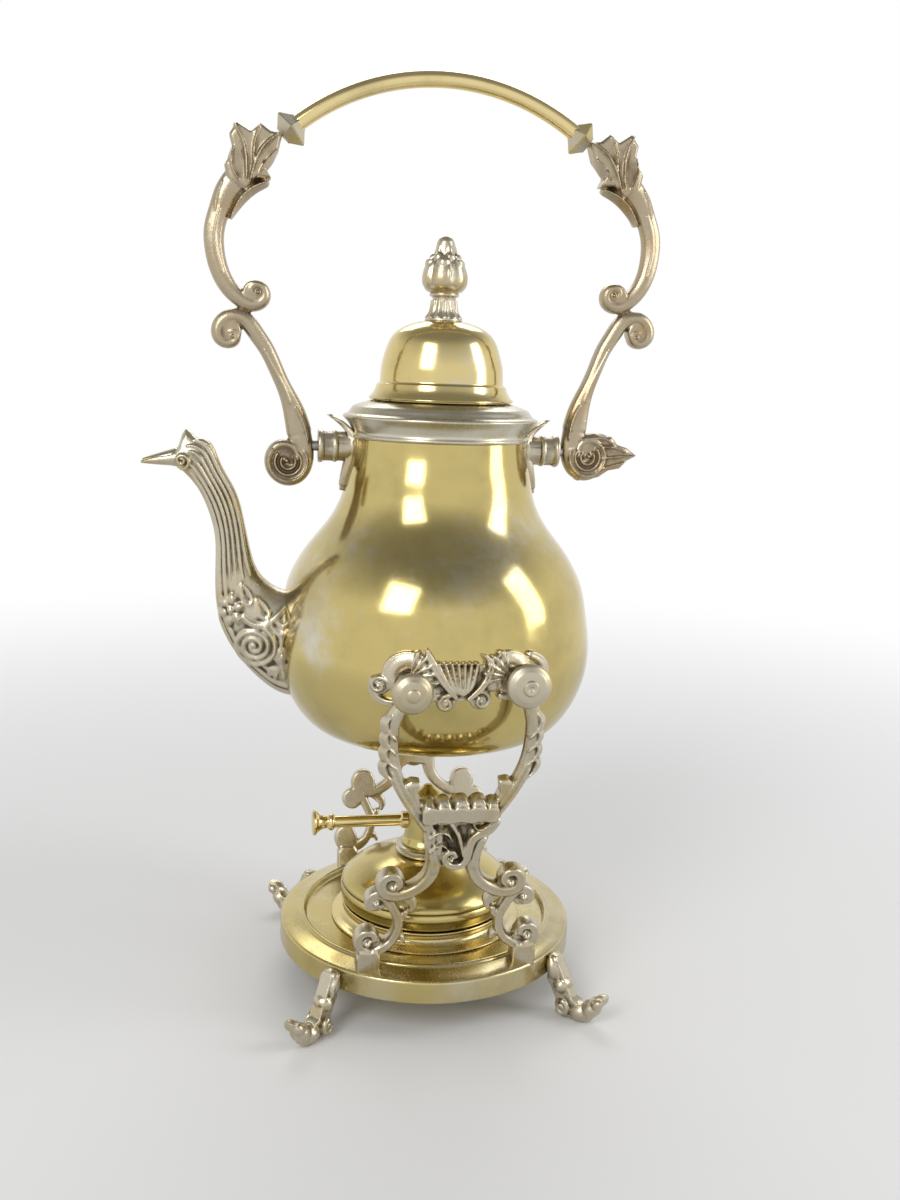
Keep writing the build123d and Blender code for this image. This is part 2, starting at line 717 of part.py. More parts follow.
def bracket():
    """Front bracket, cast to the belly's curve, with carved flutes and two screw bosses."""
    sheet = extrude(Plane.XZ * bracket_outline(), amount=belly_radius + 20)
    sheet -= Pos(0, belly_radius / 2, belly_height) * Box(4 * belly_radius, 2 * belly_radius, 300)
    cast = (sheet & grown_body(bracket_relief)) - body_solid()
    for u, v, radius in (left_fan, right_fan):
        for turn in range(30, 160, 30):
            a = math.radians(turn)
            inner, outer = 0.62 * radius, 1.2 * radius
            start = (u + inner * math.cos(a), v + inner * math.sin(a))
            end = (u + outer * math.cos(a), v + outer * math.sin(a))
            side = (0.7 * math.sin(a), -0.7 * math.cos(a))
            spoke = make_face(Polyline(
                start, (end[0] + side[0], end[1] + side[1]), (end[0] - side[0], end[1] - side[1]),
                close=True))
            cast -= carved(spoke, flute_depth)
    middle = (pivot_x + rest_x) / 2
    for i in range(-2, 3):
        x = middle - 1.4 + 4.0 * i
        fold = make_face(Polyline(
            (x, pivot_z + 8.0), (x + 0.7, pivot_z + 2.4), (x, pivot_z - 3.0), (x - 0.7, pivot_z + 2.4),
            close=True))
        cast -= carved(fold, flute_depth)
    for x, z in ((pivot_x, pivot_z), (rest_x, rest_z)):
        cast += bar_y(x, z, boss_radius, belly_radius - 15, eye_inner - side_gap) - body_solid()
    for x, z in ((pivot_x, pivot_z), (rest_x, rest_z)):
        cast -= bar_y(x, z, thread_radius, eye_inner - side_gap - thread_length, eye_inner + 20)
    return largest(cast)


def knob_screw(x, z, head_points):
    """A turned knob whose smooth shank passes the yoke's eye and screws into the bracket."""
    eye_out = eye_inner + eye_length + side_gap
    profile = [(r, eye_out + h) for r, h in head_points]
    edges = Polyline((0, profile[0][1]), profile[0]) + Spline(*profile)
    edges = edges + Line(profile[-1], (0, profile[0][1]))
    head = Pos(x, 0, z) * Rot(90, 0, 0) * revolve(Plane.XZ * make_face(edges), Axis.Z)
    face_y = eye_inner - side_gap
    shank = bar_y(x, z, shank_radius, face_y, eye_out)
    thread = bar_y(x, z, thread_radius, face_y - thread_length, face_y)
    return head + shank + thread


domed_profile = [(domed_knob - 0.6, 0.0), (domed_knob, 0.8), (domed_knob - 1.8, 2.8),
                 (domed_knob - 4.2, 3.3), (domed_knob - 4.6, 4.0), (1.8, 5.6), (0.0, 6.0)]
stepped_profile = [(stepped_knob - 0.6, 0.0), (stepped_knob, 0.8), (stepped_knob - 2.2, 2.6),
                   (stepped_knob - 4.0, 3.6), (3.6, 5.2), (1.4, 5.4), (0.0, 4.5)]


# ================================================================== ears of the bail
def collar_filled():
    """The collar and all inside it, filled, for seating the ears and the hinge."""
    filled = spun(closed_face([
        (0, collar_bottom - 1.2), (neck_radius, collar_bottom - 1.2),
        (neck_radius, mouth_height), (0, mouth_height)]))
    return mouth_collar() + filled


def ear():
    """Ear on the far side: a leaf-shaped plate on the neck, a horn under the rim and a barrel."""
    half = ear_half_width
    leaf = [
        (0.0, collar_bottom - 23.5), (0.5 * half, collar_bottom - 15.0), (half, collar_bottom - 6.0),
        (half - 1.6, collar_bottom + 1.5), (0.0, collar_bottom + 3.2),
    ]
    outline = leaf + [(-y, z) for y, z in leaf[-2:0:-1]]
    sheet = extrude(Plane.YZ * smooth_face(outline), amount=belly_radius)
    upper_skin = spun(closed_face([
        (neck_radius, collar_bottom - 2.0), (neck_radius + ear_plate, collar_bottom - 2.0),
        (neck_radius + ear_plate, collar_bottom + 4.0), (neck_radius, collar_bottom + 4.0)]))
    horn_face = ribbon([
        (neck_radius + 1.6, collar_bottom + 0.5, 4.4),
        (neck_radius + 4.2, collar_bottom + 0.48 * collar_rise, 4.4),
        (neck_radius + 7.2, collar_bottom + 0.80 * collar_rise, 3.4),
        (neck_radius + 10.8, collar_bottom + 1.06 * collar_rise, 0.8),
    ])
    horn = plate(Plane.XZ * horn_face, 1.25 * ear_half_width)
    cast = (sheet & grown_body(ear_plate)) + (sheet & upper_skin) + ear_barrel() + horn
    return largest(cast - collar_filled() - body_solid())


def ear_barrel():
    """Turned barrel of the far ear with a ring, a lip and the bore for the pin."""
    bore = bail_pin + pin_clearance
    start = neck_radius - 2.0
    outline = [
        (0.0, start), (barrel_radius, start), (barrel_radius, barrel_end - 6.4),
        (barrel_radius + 0.4, barrel_end - 6.2), (barrel_radius + 0.4, barrel_end - 5.4),
        (barrel_radius, barrel_end - 5.2), (barrel_radius, barrel_end - 1.4),
        (barrel_radius + 0.5, barrel_end - 1.2), (barrel_radius + 0.5, barrel_end),
        (bore, barrel_end), (bore, pin_start()), (0.0, pin_start()),
    ]
    turned = spun(closed_face(outline))
    return Pos(0, 0, bail_axis) * Rot(0, 90, 0) * turned


def pin_start():
    return neck_radius + 3.2


def bail_pin_bar(sign):
    """Pin through an arm's foot into its ear; it turns with the bail."""
    end = barrel_end + 9.3
    return bar_x(sign * (pin_start() + side_gap), sign * end, bail_pin, 0.0, bail_axis)


# ================================================================== bail
def grip_angle():
    return math.asin(collar_x / grip_bend)


def grip_point(x):
    """Point of the grip's centre line in the bail's own plane, measured from the pivot line."""
    return (x, grip_rise - grip_bend + math.sqrt(grip_bend**2 - x**2))


def leaned(shape):
    return shape.rotate(Axis((0, 0, bail_axis), (0, 1, 0)), -bail_lean)


def in_bail_plane(face):
    return Pos(0, 0, bail_axis) * (Plane.XZ * face)


def outward(stations):
    """Stations measured outwards from the barrel's end, as stations of the bail's own plane."""
    return [(barrel_end + out, up, *rest) for out, up, *rest in stations]


upper_arm = [
    (26.4, 114.5, 12.0), (31.6, 108.4, 10.0), (36.7, 101.6, 8.6), (39.8, 91.3, 8.4),
    (40.1, 81.2, 8.0), (37.8, 73.0, 7.4), (33.8, 66.8, 7.2), (29.4, 61.0, 7.4), (28.8, 54.6, 8.0),
]
lower_arm = [
    (31.3, 53.6, 8.2), (25.4, 50.0, 8.0), (20.8, 43.6, 7.0), (16.6, 34.2, 6.8),
    (12.2, 23.4, 8.4), (8.6, 14.6, 11.2), (6.8, 6.0, 12.4), (6.6, -3.0, 11.6),
]
crown = [
    (12.4, 126.4), (15.4, 130.6), (21.0, 129.2), (28.0, 131.6), (32.4, 128.2), (30.8, 120.8),
    (34.8, 112.4), (26.8, 106.0), (22.2, 110.6), (17.0, 111.4), (19.6, 117.0), (14.4, 122.4),
]
tail = [
    (14.8, 3.6), (22.8, 4.4), (25.4, 1.4), (28.2, 1.2), (30.4, -2.2), (34.0, -3.4), (36.8, -7.2),
    (27.4, -11.4), (18.0, -15.6), (7.3, -17.8), (4.8, -12.0),
]
bail_scrolls = [(24.4, 63.6, 5.9, 250), (34.6, 49.6, 5.6, 70), (10.6, -5.0, 9.4, 160)]


def bail_arm(with_tail):
    """Cast arm for the far side: crown, curved upper arm, two scrolls, lower arm, foot scroll."""
    face = ribbon(outward(upper_arm)) + ribbon(outward(lower_arm))
    face += make_face(Polyline(*outward(crown), close=True))
    for out, up, radius, _ in bail_scrolls:
        face += disc(barrel_end + out, up, radius)
    if with_tail:
        face += make_face(Polyline(*outward(tail), close=True))
    arm = plate(in_bail_plane(face), bail_thickness)
    channels = ribbon(narrowed(outward(upper_arm), 0.34)) + ribbon(narrowed(outward(lower_arm), 0.34))
    deep = plate(in_bail_plane(channels), bail_thickness + 2)
    arm -= deep - plate(in_bail_plane(channels), bail_thickness - 2.4)
    rosette = plate(in_bail_plane(disc(barrel_end + 23.2, 121.0, 5.2)), bail_thickness + 2.4)
    hollow = plate(in_bail_plane(disc(barrel_end + 23.2, 121.0, 3.0)), bail_thickness + 4)
    core = plate(in_bail_plane(disc(barrel_end + 23.2, 121.0, 1.6)), bail_thickness + 2.0)
    arm += rosette - hollow + core
    for out, up, radius, start in bail_scrolls:
        centre = (barrel_end + out, up)
        roll = plate(in_bail_plane(disc(*centre, radius - 0.7)), bail_thickness + 1.8)
        turns = ribbon(spiral_line(*centre, radius - 2.0, 1.0, start, 1.3, 1.1))
        groove = plate(in_bail_plane(turns), bail_thickness + 6)
        arm += roll
        arm -= groove - plate(in_bail_plane(turns), bail_thickness - 0.6)
    return arm


def square_collar():
    """Square double pyramid on the far end of the grip, with a spigot to each side."""
    x, z = grip_point(collar_x)
    turn = grip_angle()
    along = (math.cos(turn), 0, -math.sin(turn))
    plane = Plane(origin=(x, 0, bail_axis + z), x_dir=(0, 1, 0), z_dir=along)
    side = collar_half * math.sqrt(2)
    small = 1.6 * (grip_radius + 0.9)
    square = Rot(0, 0, 45) * Rectangle(side, side)
    end = Rot(0, 0, 45) * Rectangle(small, small)
    body = loft([Pos(0, 0, -collar_depth) * end, square])
    body += loft([square, Pos(0, 0, collar_depth) * end])
    body += Cylinder(spigot_radius, 2 * (collar_depth + spigot_length))
    return plane * body


def grip_tube(radius, trim):
    """The grip's bent rod between the two square collars, each end cut short by the trim."""
    reach = grip_angle() - trim / grip_bend
    start = math.degrees(math.pi / 2 - reach)
    path = CenterArc((0, grip_rise - grip_bend), grip_bend, start, math.degrees(2 * reach))
    path = Pos(0, 0, bail_axis) * (Plane.XZ * path)
    section = Plane(origin=path @ 0, z_dir=path % 0) * Circle(radius)
    return sweep(section, path=path)


# ================================================================== lid
def dome_points():
    return [
        (dome_radius, dome_step),
        (dome_radius - 0.15, dome_step + 0.23 * dome_rise),
        (dome_radius - 1.1, dome_step + 0.385 * dome_rise),
        (dome_radius - 2.3, dome_step + 0.54 * dome_rise),
        (dome_radius - 4.1, dome_step + 0.69 * dome_rise),
        (dome_radius - 8.0, dome_step + 0.845 * dome_rise),
        (0.42 * dome_radius, dome_step + 0.965 * dome_rise),
        (0.15 * dome_radius, dome_top),
    ]


def lid_outside():
    """Outer edges of the lid's profile, from the underside of the brim up to the dome's top."""
    edges = Polyline((brim_radius, brim_z), (brim_radius, brim_z + 0.8))
    edges = edges + Spline(
        (brim_radius, brim_z + 0.8), (brim_radius - 1.0, brim_z + 1.6),
        (flare_top + 0.9, dome_step - 3.0), (flare_top, dome_step - 0.5))
    edges = edges + Polyline(
        (flare_top, dome_step - 0.5), (flare_top - 0.3, dome_step), (dome_radius, dome_step))
    return edges + Spline(*dome_points())


def lid_shell():
    """Dome and flared brim in one spun sheet."""
    outside = dome_points()
    inside = offset_points(outside, lid_wall)
    edges = lid_outside() + Line(outside[-1], inside[-1]) + Spline(*inside[::-1])
    edges = edges + Polyline(
        inside[0], (dome_radius - lid_wall, dome_step - 1.0), (flare_top - 1.2, dome_step - 1.4),
        (mouth_radius - 1.0, brim_z), (brim_radius, brim_z))
    return spun(Plane.XZ * make_face(edges))


def lid_solid():
    """The lid's outside, filled, for seating the hinge leaf and the finial."""
    top = dome_points()[-1]
    edges = lid_outside() + Polyline(top, (0, dome_top), (0, brim_z), (brim_radius, brim_z))
    return spun(Plane.XZ * make_face(edges))


def lid_bezel():
    """Short tube under the brim that keeps the lid centred in the mouth."""
    outer = mouth_radius - bezel_gap
    return spun(closed_face([
        (outer, brim_z), (outer, brim_z - bezel_depth), (outer - lid_wall, brim_z - bezel_depth),
        (outer - lid_wall, brim_z + 0.9), (mouth_radius - 1.0 - 0.2 * lid_wall, brim_z),
    ]))


def lid_hinge_fixed():
    """Leaf soldered on the shoulder behind the lid, with the middle knuckle."""
    third = hinge_length / 3
    slope_z = collar_height + 0.53 * shoulder_rise + 0.9
    slope = [
        (hinge_offset - 0.6, hinge_z), (hinge_offset + 1.2, hinge_z), (collar_radius - 3.2, slope_z),
        (collar_radius - 3.2, collar_height), (hinge_offset - 0.6, collar_height),
    ]
    leaf = extrude(Plane.YZ * make_face(Polyline(*slope, close=True)), amount=third / 2, both=True)
    part = bar_x(-third / 2, third / 2, knuckle_radius, hinge_offset, hinge_z) + leaf - collar_filled()
    part -= bar_x(-third, third, hinge_pin + pin_clearance, hinge_offset, hinge_z)
    return largest(part)


def lid_hinge_moving():
    """Leaf on the lid's brim with the two outer knuckles."""
    third = hinge_length / 3
    reach = hinge_out + 2.0
    leaf = Pos(0, hinge_offset - reach / 2, brim_z + 1.15) * Box(hinge_length, reach, 1.1)
    part = leaf - Pos(0, hinge_offset, hinge_z) * Box(
        third + 2 * knuckle_gap, 2 * knuckle_radius + 2 * side_gap, 8 * knuckle_radius)
    for sign in (-1, 1):
        part += bar_x(sign * (third / 2 + knuckle_gap), sign * hinge_length / 2, knuckle_radius,
                      hinge_offset, hinge_z)
    part -= bar_x(-hinge_length, hinge_length, hinge_pin, hinge_offset, hinge_z)
    return part - lid_solid()


def finial():
    """Cast bud finial: a fluted flaring stem, a cup, a ring of curling leaves and a tall bud."""
    cup = dome_top + 0.27 * finial_rise
    stem_line = [
        (9.9, dome_top - 1.6), (7.6, dome_top + 1.0), (5.6, dome_top + 4.6),
        (5.0, dome_top + 0.2 * finial_rise), (5.4, cup),
    ]
    cup_line = [
        (6.6, cup + 0.4), (9.3, cup + 3.2), (9.0, cup + 5.4), (6.0, cup + 7.4), (4.4, cup + 9.0),
    ]
    bud_line = [
        (4.4, cup + 9.0), (5.0, cup + 13.0), (4.4, finial_top - 7.0), (3.2, finial_top - 2.6),
        (0.8, finial_top - 0.3),
    ]
    edges = Line((0, stem_line[0][1]), stem_line[0]) + Spline(*stem_line) + Line(stem_line[-1], cup_line[0])
    edges = edges + Spline(*cup_line) + Spline(*bud_line) + Line(bud_line[-1], (0, finial_top))
    edges = edges + Line((0, finial_top), (0, stem_line[0][1]))
    cast = spun(Plane.XZ * make_face(edges))
    for i in range(10):
        turn = Rot(0, 0, 36 * i)
        cast -= turn * (Pos(7.9, 0, dome_top + 4.6) * Rot(0, 16, 0) * Cylinder(1.1, 9.0))
    for i in range(6):
        leaf = Pos(6.6, 0, cup + 8.6) * Rot(0, 14, 0) * scale(Sphere(3.0), by=(0.85, 1.1, 2.2))
        cast += Rot(0, 0, 60 * i + 12) * leaf
    cast -= lid_solid()
    return largest(cast - bar_z(finial_screw, dome_top - 5, dome_top + 6.0))


def finial_fixing():
    """Screw with a wide slotted head that holds the finial from inside the dome."""
    under = dome_top - lid_wall - 0.1
    screw = bar_z(finial_screw, under - 1.0, dome_top + 5.6)
    head = bar_z(4.2, under - 2.6, under - 0.2)
    slot = Pos(0, 0, under - 2.4) * Box(9.0, 0.9, 1.0)
    return screw + head - slot


# ================================================================== burner
def tank_bowl():
    """Lower half of the tank: a flat bottom, a waist inside the seat and a rolled-over shoulder."""
    lip_top = floor_z + seat_height
    base = floor_z + 1.8
    points = [
        (seat_lip - 9.0, base), (seat_lip - 4.0, base + 1.0), (seat_lip - 2.4, base + 3.6),
        (seat_lip - 1.8, lip_top + side_gap - 0.2), (seat_lip + 0.1, lip_top + side_gap + 1.0),
        (tank_radius, tank_seam - 0.22 * tank_depth), (tank_radius, tank_seam),
    ]
    return spun_wall(points, tank_wall) + bar_z(points[0][0], base, base + tank_wall)


def tank_top_points():
    return [
        (tank_radius, tank_seam), (tank_radius - 0.9, tank_seam + 0.17 * tank_rise),
        (tank_radius - 3.6, tank_seam + 0.40 * tank_rise),
        (tank_radius - 8.6, tank_seam + 0.62 * tank_rise),
        (tank_radius - 15.6, tank_seam + 0.81 * tank_rise),
        (neck_flange, tank_seam + tank_rise), (wick_tube + 4.4, tank_seam + tank_rise + 0.2),
    ]


def tank_top():
    return spun_wall(tank_top_points(), tank_wall) - tank_bowl()


def burner_neck():
    """Stepped collar soldered on the tank, bored for the wick tube."""
    base = tank_seam + tank_rise + 0.2
    neck = spun(closed_face([
        (wick_tube, base), (neck_flange, base), (neck_flange, neck_top - 2.2),
        (neck_flange - 1.1, neck_top - 1.8), (neck_flange - 1.1, neck_top - 0.6),
        (neck_flange - 1.8, neck_top), (wick_tube + 3.6, neck_top),
        (wick_tube + 3.6, neck_top + 4.6), (wick_tube + 2.8, neck_top + 5.2),
        (wick_tube, neck_top + 5.2),
    ]))
    return neck - tank_top()


def wick_sleeve():
    tube = bar_z(wick_tube, tank_seam - 4.0, wick_top - 2.6)
    return tube - bar_z(wick_radius, tank_seam - 6.0, wick_top)


def wick():
    return bar_z(wick_radius, floor_z + 4.5, wick_top)


def snuffer_cap():
    """Spun bell with a rolled foot, and a soldered socket for its handle."""
    base = neck_top + side_gap
    points = [
        (cap_radius, base), (cap_radius - 0.3, base + 0.07 * cap_height),
        (cap_radius - 1.3, base + 0.15 * cap_height), (cap_radius - 1.5, base + 0.36 * cap_height),
        (cap_radius - 2.3, base + 0.60 * cap_height), (cap_radius - 4.2, base + 0.80 * cap_height),
        (cap_radius - 7.6, base + 0.95 * cap_height), (1.2, cap_top),
    ]
    side = cap_radius - 1.7
    boss = bar_x(-side - 1.6, -side + 0.6, handle_radius + 0.9, 0.0, handle_height)
    socket = bar_x(-side - 3.0, -side + 3.0, handle_radius - 0.9, 0.0, handle_height)
    return spun_wall(points, cap_wall) + bar_z(1.6, cap_top - cap_wall, cap_top) + boss - socket


def cap_handle():
    """Turned handle: a spigot into the cap, a plain rod, a ring and a flared end."""
    start = cap_radius - 0.1
    end = start + handle_length
    profile = [
        (0.0, start - 2.6), (handle_radius - 0.9, start - 2.6), (handle_radius - 0.9, start),
        (handle_radius, start), (handle_radius, end - 10.4),
        (handle_radius + 0.8, end - 10.0), (handle_radius + 0.8, end - 8.0),
        (handle_radius + 0.2, end - 7.4), (handle_flare - 1.4, end - 2.2),
        (handle_flare, end - 1.6), (handle_flare, end - 0.2), (0.0, end),
    ]
    rod = revolve(Plane.XZ * make_face(Polyline(*profile, close=True)), Axis.Z)
    return Pos(0, 0, handle_height) * Rot(0, -90, 0) * rod


# ================================================================== build and write
def write_stand():
    write(base_tray(), "base_tray")
    write(burner_seat(), "burner_seat")
    for i, name in enumerate(("rear_far", "rear_spout", "front_spout", "front_far")):
        write(foot(foot_phase + 360 / foot_count * i), f"foot_{name}")
    front = yoke()
    write(front, "yoke_front")
    write(mirror_y(front), "yoke_rear")
    write(yoke_screws(), "yoke_screws")


def write_kettle():
    write(kettle_body(), "kettle_body")
    write(kettle_foot_ring(), "kettle_foot_ring")
    write(mouth_collar(), "mouth_collar")
    write(spout(), "spout")
    pieces = {
        "bracket": bracket(),
        "pivot_knob": knob_screw(pivot_x, pivot_z, domed_profile),
        "rest_knob": knob_screw(rest_x, rest_z, stepped_profile),
    }
    for name, front in pieces.items():
        write(front, f"{name}_front")
        write(mirror_y(front), f"{name}_rear")
    far_ear = ear()
    write(far_ear, "ear_far")
    write(mirror(far_ear, about=Plane.YZ), "ear_spout")
    write(lid_hinge_fixed(), "lid_hinge_leaf_fixed")


def write_bail():
    collar = square_collar()
    for name, sign in (("far", 1), ("spout", -1)):
        pin = bail_pin_bar(sign)
        arm = bail_arm(with_tail=sign > 0) - collar
        side_collar = collar
        if sign < 0:
            arm = mirror(arm, about=Plane.YZ)
            side_collar = mirror(collar, about=Plane.YZ)
        write(largest(leaned(arm) - pin), f"bail_arm_{name}")
        write(leaned(side_collar), f"grip_collar_{name}")
        write(pin, f"bail_pin_{name}")
    bore = grip_tube(grip_bore, -spigot_length)
    write(leaned(grip_tube(grip_radius, collar_depth + side_gap) - bore), "grip_tube")


def write_lid():
    write(lid_shell(), "lid_shell")
    write(lid_bezel(), "lid_bezel")
    write(finial(), "finial")
    write(finial_fixing(), "finial_screw")
    write(lid_hinge_moving(), "lid_hinge_leaf_moving")
    reach = hinge_length / 2 + 0.4
    write(bar_x(-reach, reach, hinge_pin, hinge_offset, hinge_z), "lid_hinge_pin")


def write_burner():
    write(tank_bowl(), "burner_tank_bowl")
    write(tank_top(), "burner_tank_top")
    write(burner_neck(), "burner_neck")
    write(wick_sleeve(), "wick_tube")
    write(wick(), "wick")
    write(snuffer_cap(), "snuffer_cap")
    write(cap_handle(), "snuffer_handle")


os.makedirs("parts", exist_ok=True)
write_stand()
write_kettle()
write_bail()
write_lid()
write_burner()
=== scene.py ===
# %% [markdown]
# # Spirit kettle on its stand
# This notebook dresses a finished CAD model. The CAD file holds every piece at its real size.
# Here each piece gets the surface of the real one: spun sheet brass with worn silver plate, and
# cast ornament that was chased by hand, dark in its hollows with tarnish and with painted shade.
# We first load the CAD model.

import json
import math

import bmesh
import bpy
import numpy as np
from mathutils import Matrix, Vector, noise


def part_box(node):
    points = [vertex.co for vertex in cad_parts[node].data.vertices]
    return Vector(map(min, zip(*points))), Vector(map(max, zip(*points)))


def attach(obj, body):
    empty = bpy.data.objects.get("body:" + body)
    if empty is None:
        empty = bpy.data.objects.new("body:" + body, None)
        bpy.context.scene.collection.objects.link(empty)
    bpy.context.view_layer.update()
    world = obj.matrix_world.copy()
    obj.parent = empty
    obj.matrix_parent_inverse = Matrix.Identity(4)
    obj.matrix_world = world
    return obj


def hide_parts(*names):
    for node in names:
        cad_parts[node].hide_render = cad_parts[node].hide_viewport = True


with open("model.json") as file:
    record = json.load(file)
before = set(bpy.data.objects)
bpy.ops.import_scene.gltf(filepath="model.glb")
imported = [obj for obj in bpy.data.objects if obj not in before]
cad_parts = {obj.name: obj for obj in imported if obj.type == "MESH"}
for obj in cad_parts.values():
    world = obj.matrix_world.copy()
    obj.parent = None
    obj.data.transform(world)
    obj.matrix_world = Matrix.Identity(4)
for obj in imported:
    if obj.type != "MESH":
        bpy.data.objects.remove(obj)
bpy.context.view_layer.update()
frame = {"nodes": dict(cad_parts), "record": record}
MM = 0.001

# %% [markdown]
# The CAD model is in metres, but a kettle is easier to think about in millimetres. So every length
# below is in millimetres, and one place (`piece`) turns it into metres. The main sizes are read
# from the boxes of the CAD pieces: if a size changes there, the dressed pieces follow.

# %% Main sizes, read from the CAD pieces
def corners(node):
    """Lowest and highest corner of a CAD piece in millimetres."""
    low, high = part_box(node)
    return np.array(low) / MM, np.array(high) / MM


rim_radius = corners("base_tray")[1][0]
rim_bottom = corners("base_tray")[0][2]
bead_top = corners("base_tray")[1][2]
belly_radius = corners("kettle_body")[1][0]
body_bottom = corners("kettle_body")[0][2]
neck_top = corners("kettle_body")[1][2]
collar_radius = corners("mouth_collar")[1][0]
mouth_height = corners("mouth_collar")[1][2]
brim_radius = corners("lid_shell")[1][0]
brim_height = corners("lid_shell")[0][2]
dome_top = corners("lid_shell")[1][2]
finial_top = corners("finial")[1][2]
tank_radius = corners("burner_tank_bowl")[1][0]
tank_seam = corners("burner_tank_bowl")[1][2]
cap_low, cap_high = corners("snuffer_cap")
bail_axis = sum(c[2] for c in corners("bail_pin_far")) / 2
pivot_low, pivot_high = corners("pivot_knob_front")
rest_low, rest_high = corners("rest_knob_front")
pivot_x = (pivot_low[0] + pivot_high[0]) / 2
pivot_z = (pivot_low[2] + pivot_high[2]) / 2
rest_x = (rest_low[0] + rest_high[0]) / 2
rest_z = (rest_low[2] + rest_high[2]) / 2
print(f"belly {2 * belly_radius:.0f} mm across, tray {2 * rim_radius:.0f} mm across")

# %% [markdown]
# ## Smooth lines
# Spun metal and cast scrolls both run in smooth lines. A natural cubic spline bends least between
# its points, like a thin strip of steel held by nails, so a few points give a fair curve. Widths
# and heights can ride along as extra columns and are blended in the same way.

# %% A smooth line through a few points
def flowing(points, per_span=6):
    """A natural cubic spline through rows of numbers, spaced by the distance of the first two."""
    p = np.array(points, float)
    gap = np.hypot(*(p[1:, :2] - p[:-1, :2]).T)
    n = len(p)
    grid = np.zeros((n, n))
    side = np.zeros_like(p)
    grid[0, 0] = grid[-1, -1] = 1
    for i in range(1, n - 1):
        grid[i, i - 1 : i + 2] = gap[i - 1], 2 * (gap[i - 1] + gap[i]), gap[i]
        side[i] = 3 * ((p[i + 1] - p[i]) / gap[i] - (p[i] - p[i - 1]) / gap[i - 1])
    bend = np.linalg.solve(grid, side)
    rows = []
    for i in range(n - 1):
        t = np.linspace(0, gap[i], per_span, endpoint=False)[:, None]
        slope = (p[i + 1] - p[i]) / gap[i] - gap[i] * (2 * bend[i] + bend[i + 1]) / 3
        rows.append(p[i] + slope * t + bend[i] * t**2 + (bend[i + 1] - bend[i]) / (3 * gap[i]) * t**3)
    return np.vstack(rows + [p[-1:]])


# %% [markdown]
# ## From points to pieces
# Every builder below returns a *shell*: an array of points and a list of faces. One function turns
# shells into a Blender object, sets which edges are sharp, lets it ride on its CAD body and hides
# the plain CAD piece that it stands for.

# %% Shells and pieces
def joined(shells):
    """Several shells as one."""
    points, faces, start = [], [], 0
    for shell_points, shell_faces in shells:
        points.append(shell_points)
        faces += [[i + start for i in face] for face in shell_faces]
        start += len(shell_points)
    return np.vstack(points), faces


def shade(mesh, sharp_angle):
    """Smooth shading, with a hard edge where two faces meet at more than the angle in degrees."""
    build = bmesh.new()
    build.from_mesh(mesh)
    bmesh.ops.recalc_face_normals(build, faces=build.faces)
    for face in build.faces:
        face.smooth = True
    limit = math.radians(sharp_angle)
    for edge in build.edges:
        edge.smooth = len(edge.link_faces) == 2 and edge.calc_face_angle(0) < limit
    build.to_mesh(mesh)
    build.free()


def piece(name, shell, material, body, *nodes, sharp_angle=38):
    """A Blender object from a shell in millimetres. It rides on its body and replaces CAD nodes."""
    mesh = bpy.data.meshes.new(name)
    mesh.from_pydata((shell[0] * MM).tolist(), [], shell[1])
    shade(mesh, sharp_angle)
    made = bpy.data.objects.new(name, mesh)
    bpy.context.scene.collection.objects.link(made)
    return dressed(made, material, body, *nodes)


def dressed(made, material, body, *nodes):
    made.data.materials.clear()
    made.data.materials.append(material)
    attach(made, body)
    if nodes:
        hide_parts(*nodes)
    return made


# %% [markdown]
# ## Turned shells
# Body, lid, tray and burner were spun or turned, so each is one profile swept round the upright
# axis. Polished metal shows every flat, so the profile is turned in many narrow steps, which the
# CAD facets are too coarse for.

# %% A profile turned round the upright axis
def turned(profile, around=160, closed=True):
    """A shell from (radius, height) points. A radius of 0 becomes a single point on the axis."""
    points, faces, rings = [], [], []
    angles = np.linspace(0, 2 * math.pi, around, endpoint=False)
    for radius, height in profile:
        if radius < 1e-6:
            rings.append([len(points)] * around)
            points.append((0, 0, height))
        else:
            rings.append(list(range(len(points), len(points) + around)))
            points += [(radius * math.cos(a), radius * math.sin(a), height) for a in angles]
    pairs = list(zip(rings, rings[1:]))
    if closed:
        pairs.append((rings[-1], rings[0]))
    for low, high in pairs:
        for i in range(around):
            j = (i + 1) % around
            face = [low[i], low[j], high[j], high[i]]
            face = list(dict.fromkeys(face))
            if len(face) > 2:
                faces.append(face)
    return np.array(points), faces


def offset(line, distance):
    """A line of (radius, height) points moved to its left by a distance."""
    line = np.asarray(line, float)
    step = np.gradient(line, axis=0)
    step /= np.hypot(step[:, 0], step[:, 1])[:, None]
    return line + distance * np.column_stack([-step[:, 1], step[:, 0]])


def sheet_profile(outside, wall):
    """Closed profile of a metal sheet whose outer side follows the line."""
    inside = offset(outside, wall)
    inside[:, 0] = np.maximum(inside[:, 0], 0)
    return list(map(tuple, outside)) + list(map(tuple, inside[::-1]))


def placed(shell, matrix):
    """A shell moved by a 4 by 4 matrix."""
    points = np.c_[shell[0], np.ones(len(shell[0]))] @ np.array(matrix).T
    return points[:, :3], shell[1]


def uneven(shell, amount, size, seed):
    """Hand-planished metal is never quite true: this moves points by a slow, small noise."""
    shift = Vector((seed, 2.3 * seed, 0.7 * seed))
    points = shell[0].copy()
    for i, p in enumerate(points):
        n = noise.noise_vector(Vector(p) / size + shift)
        points[i] += amount * np.array(n)
    return points, shell[1]


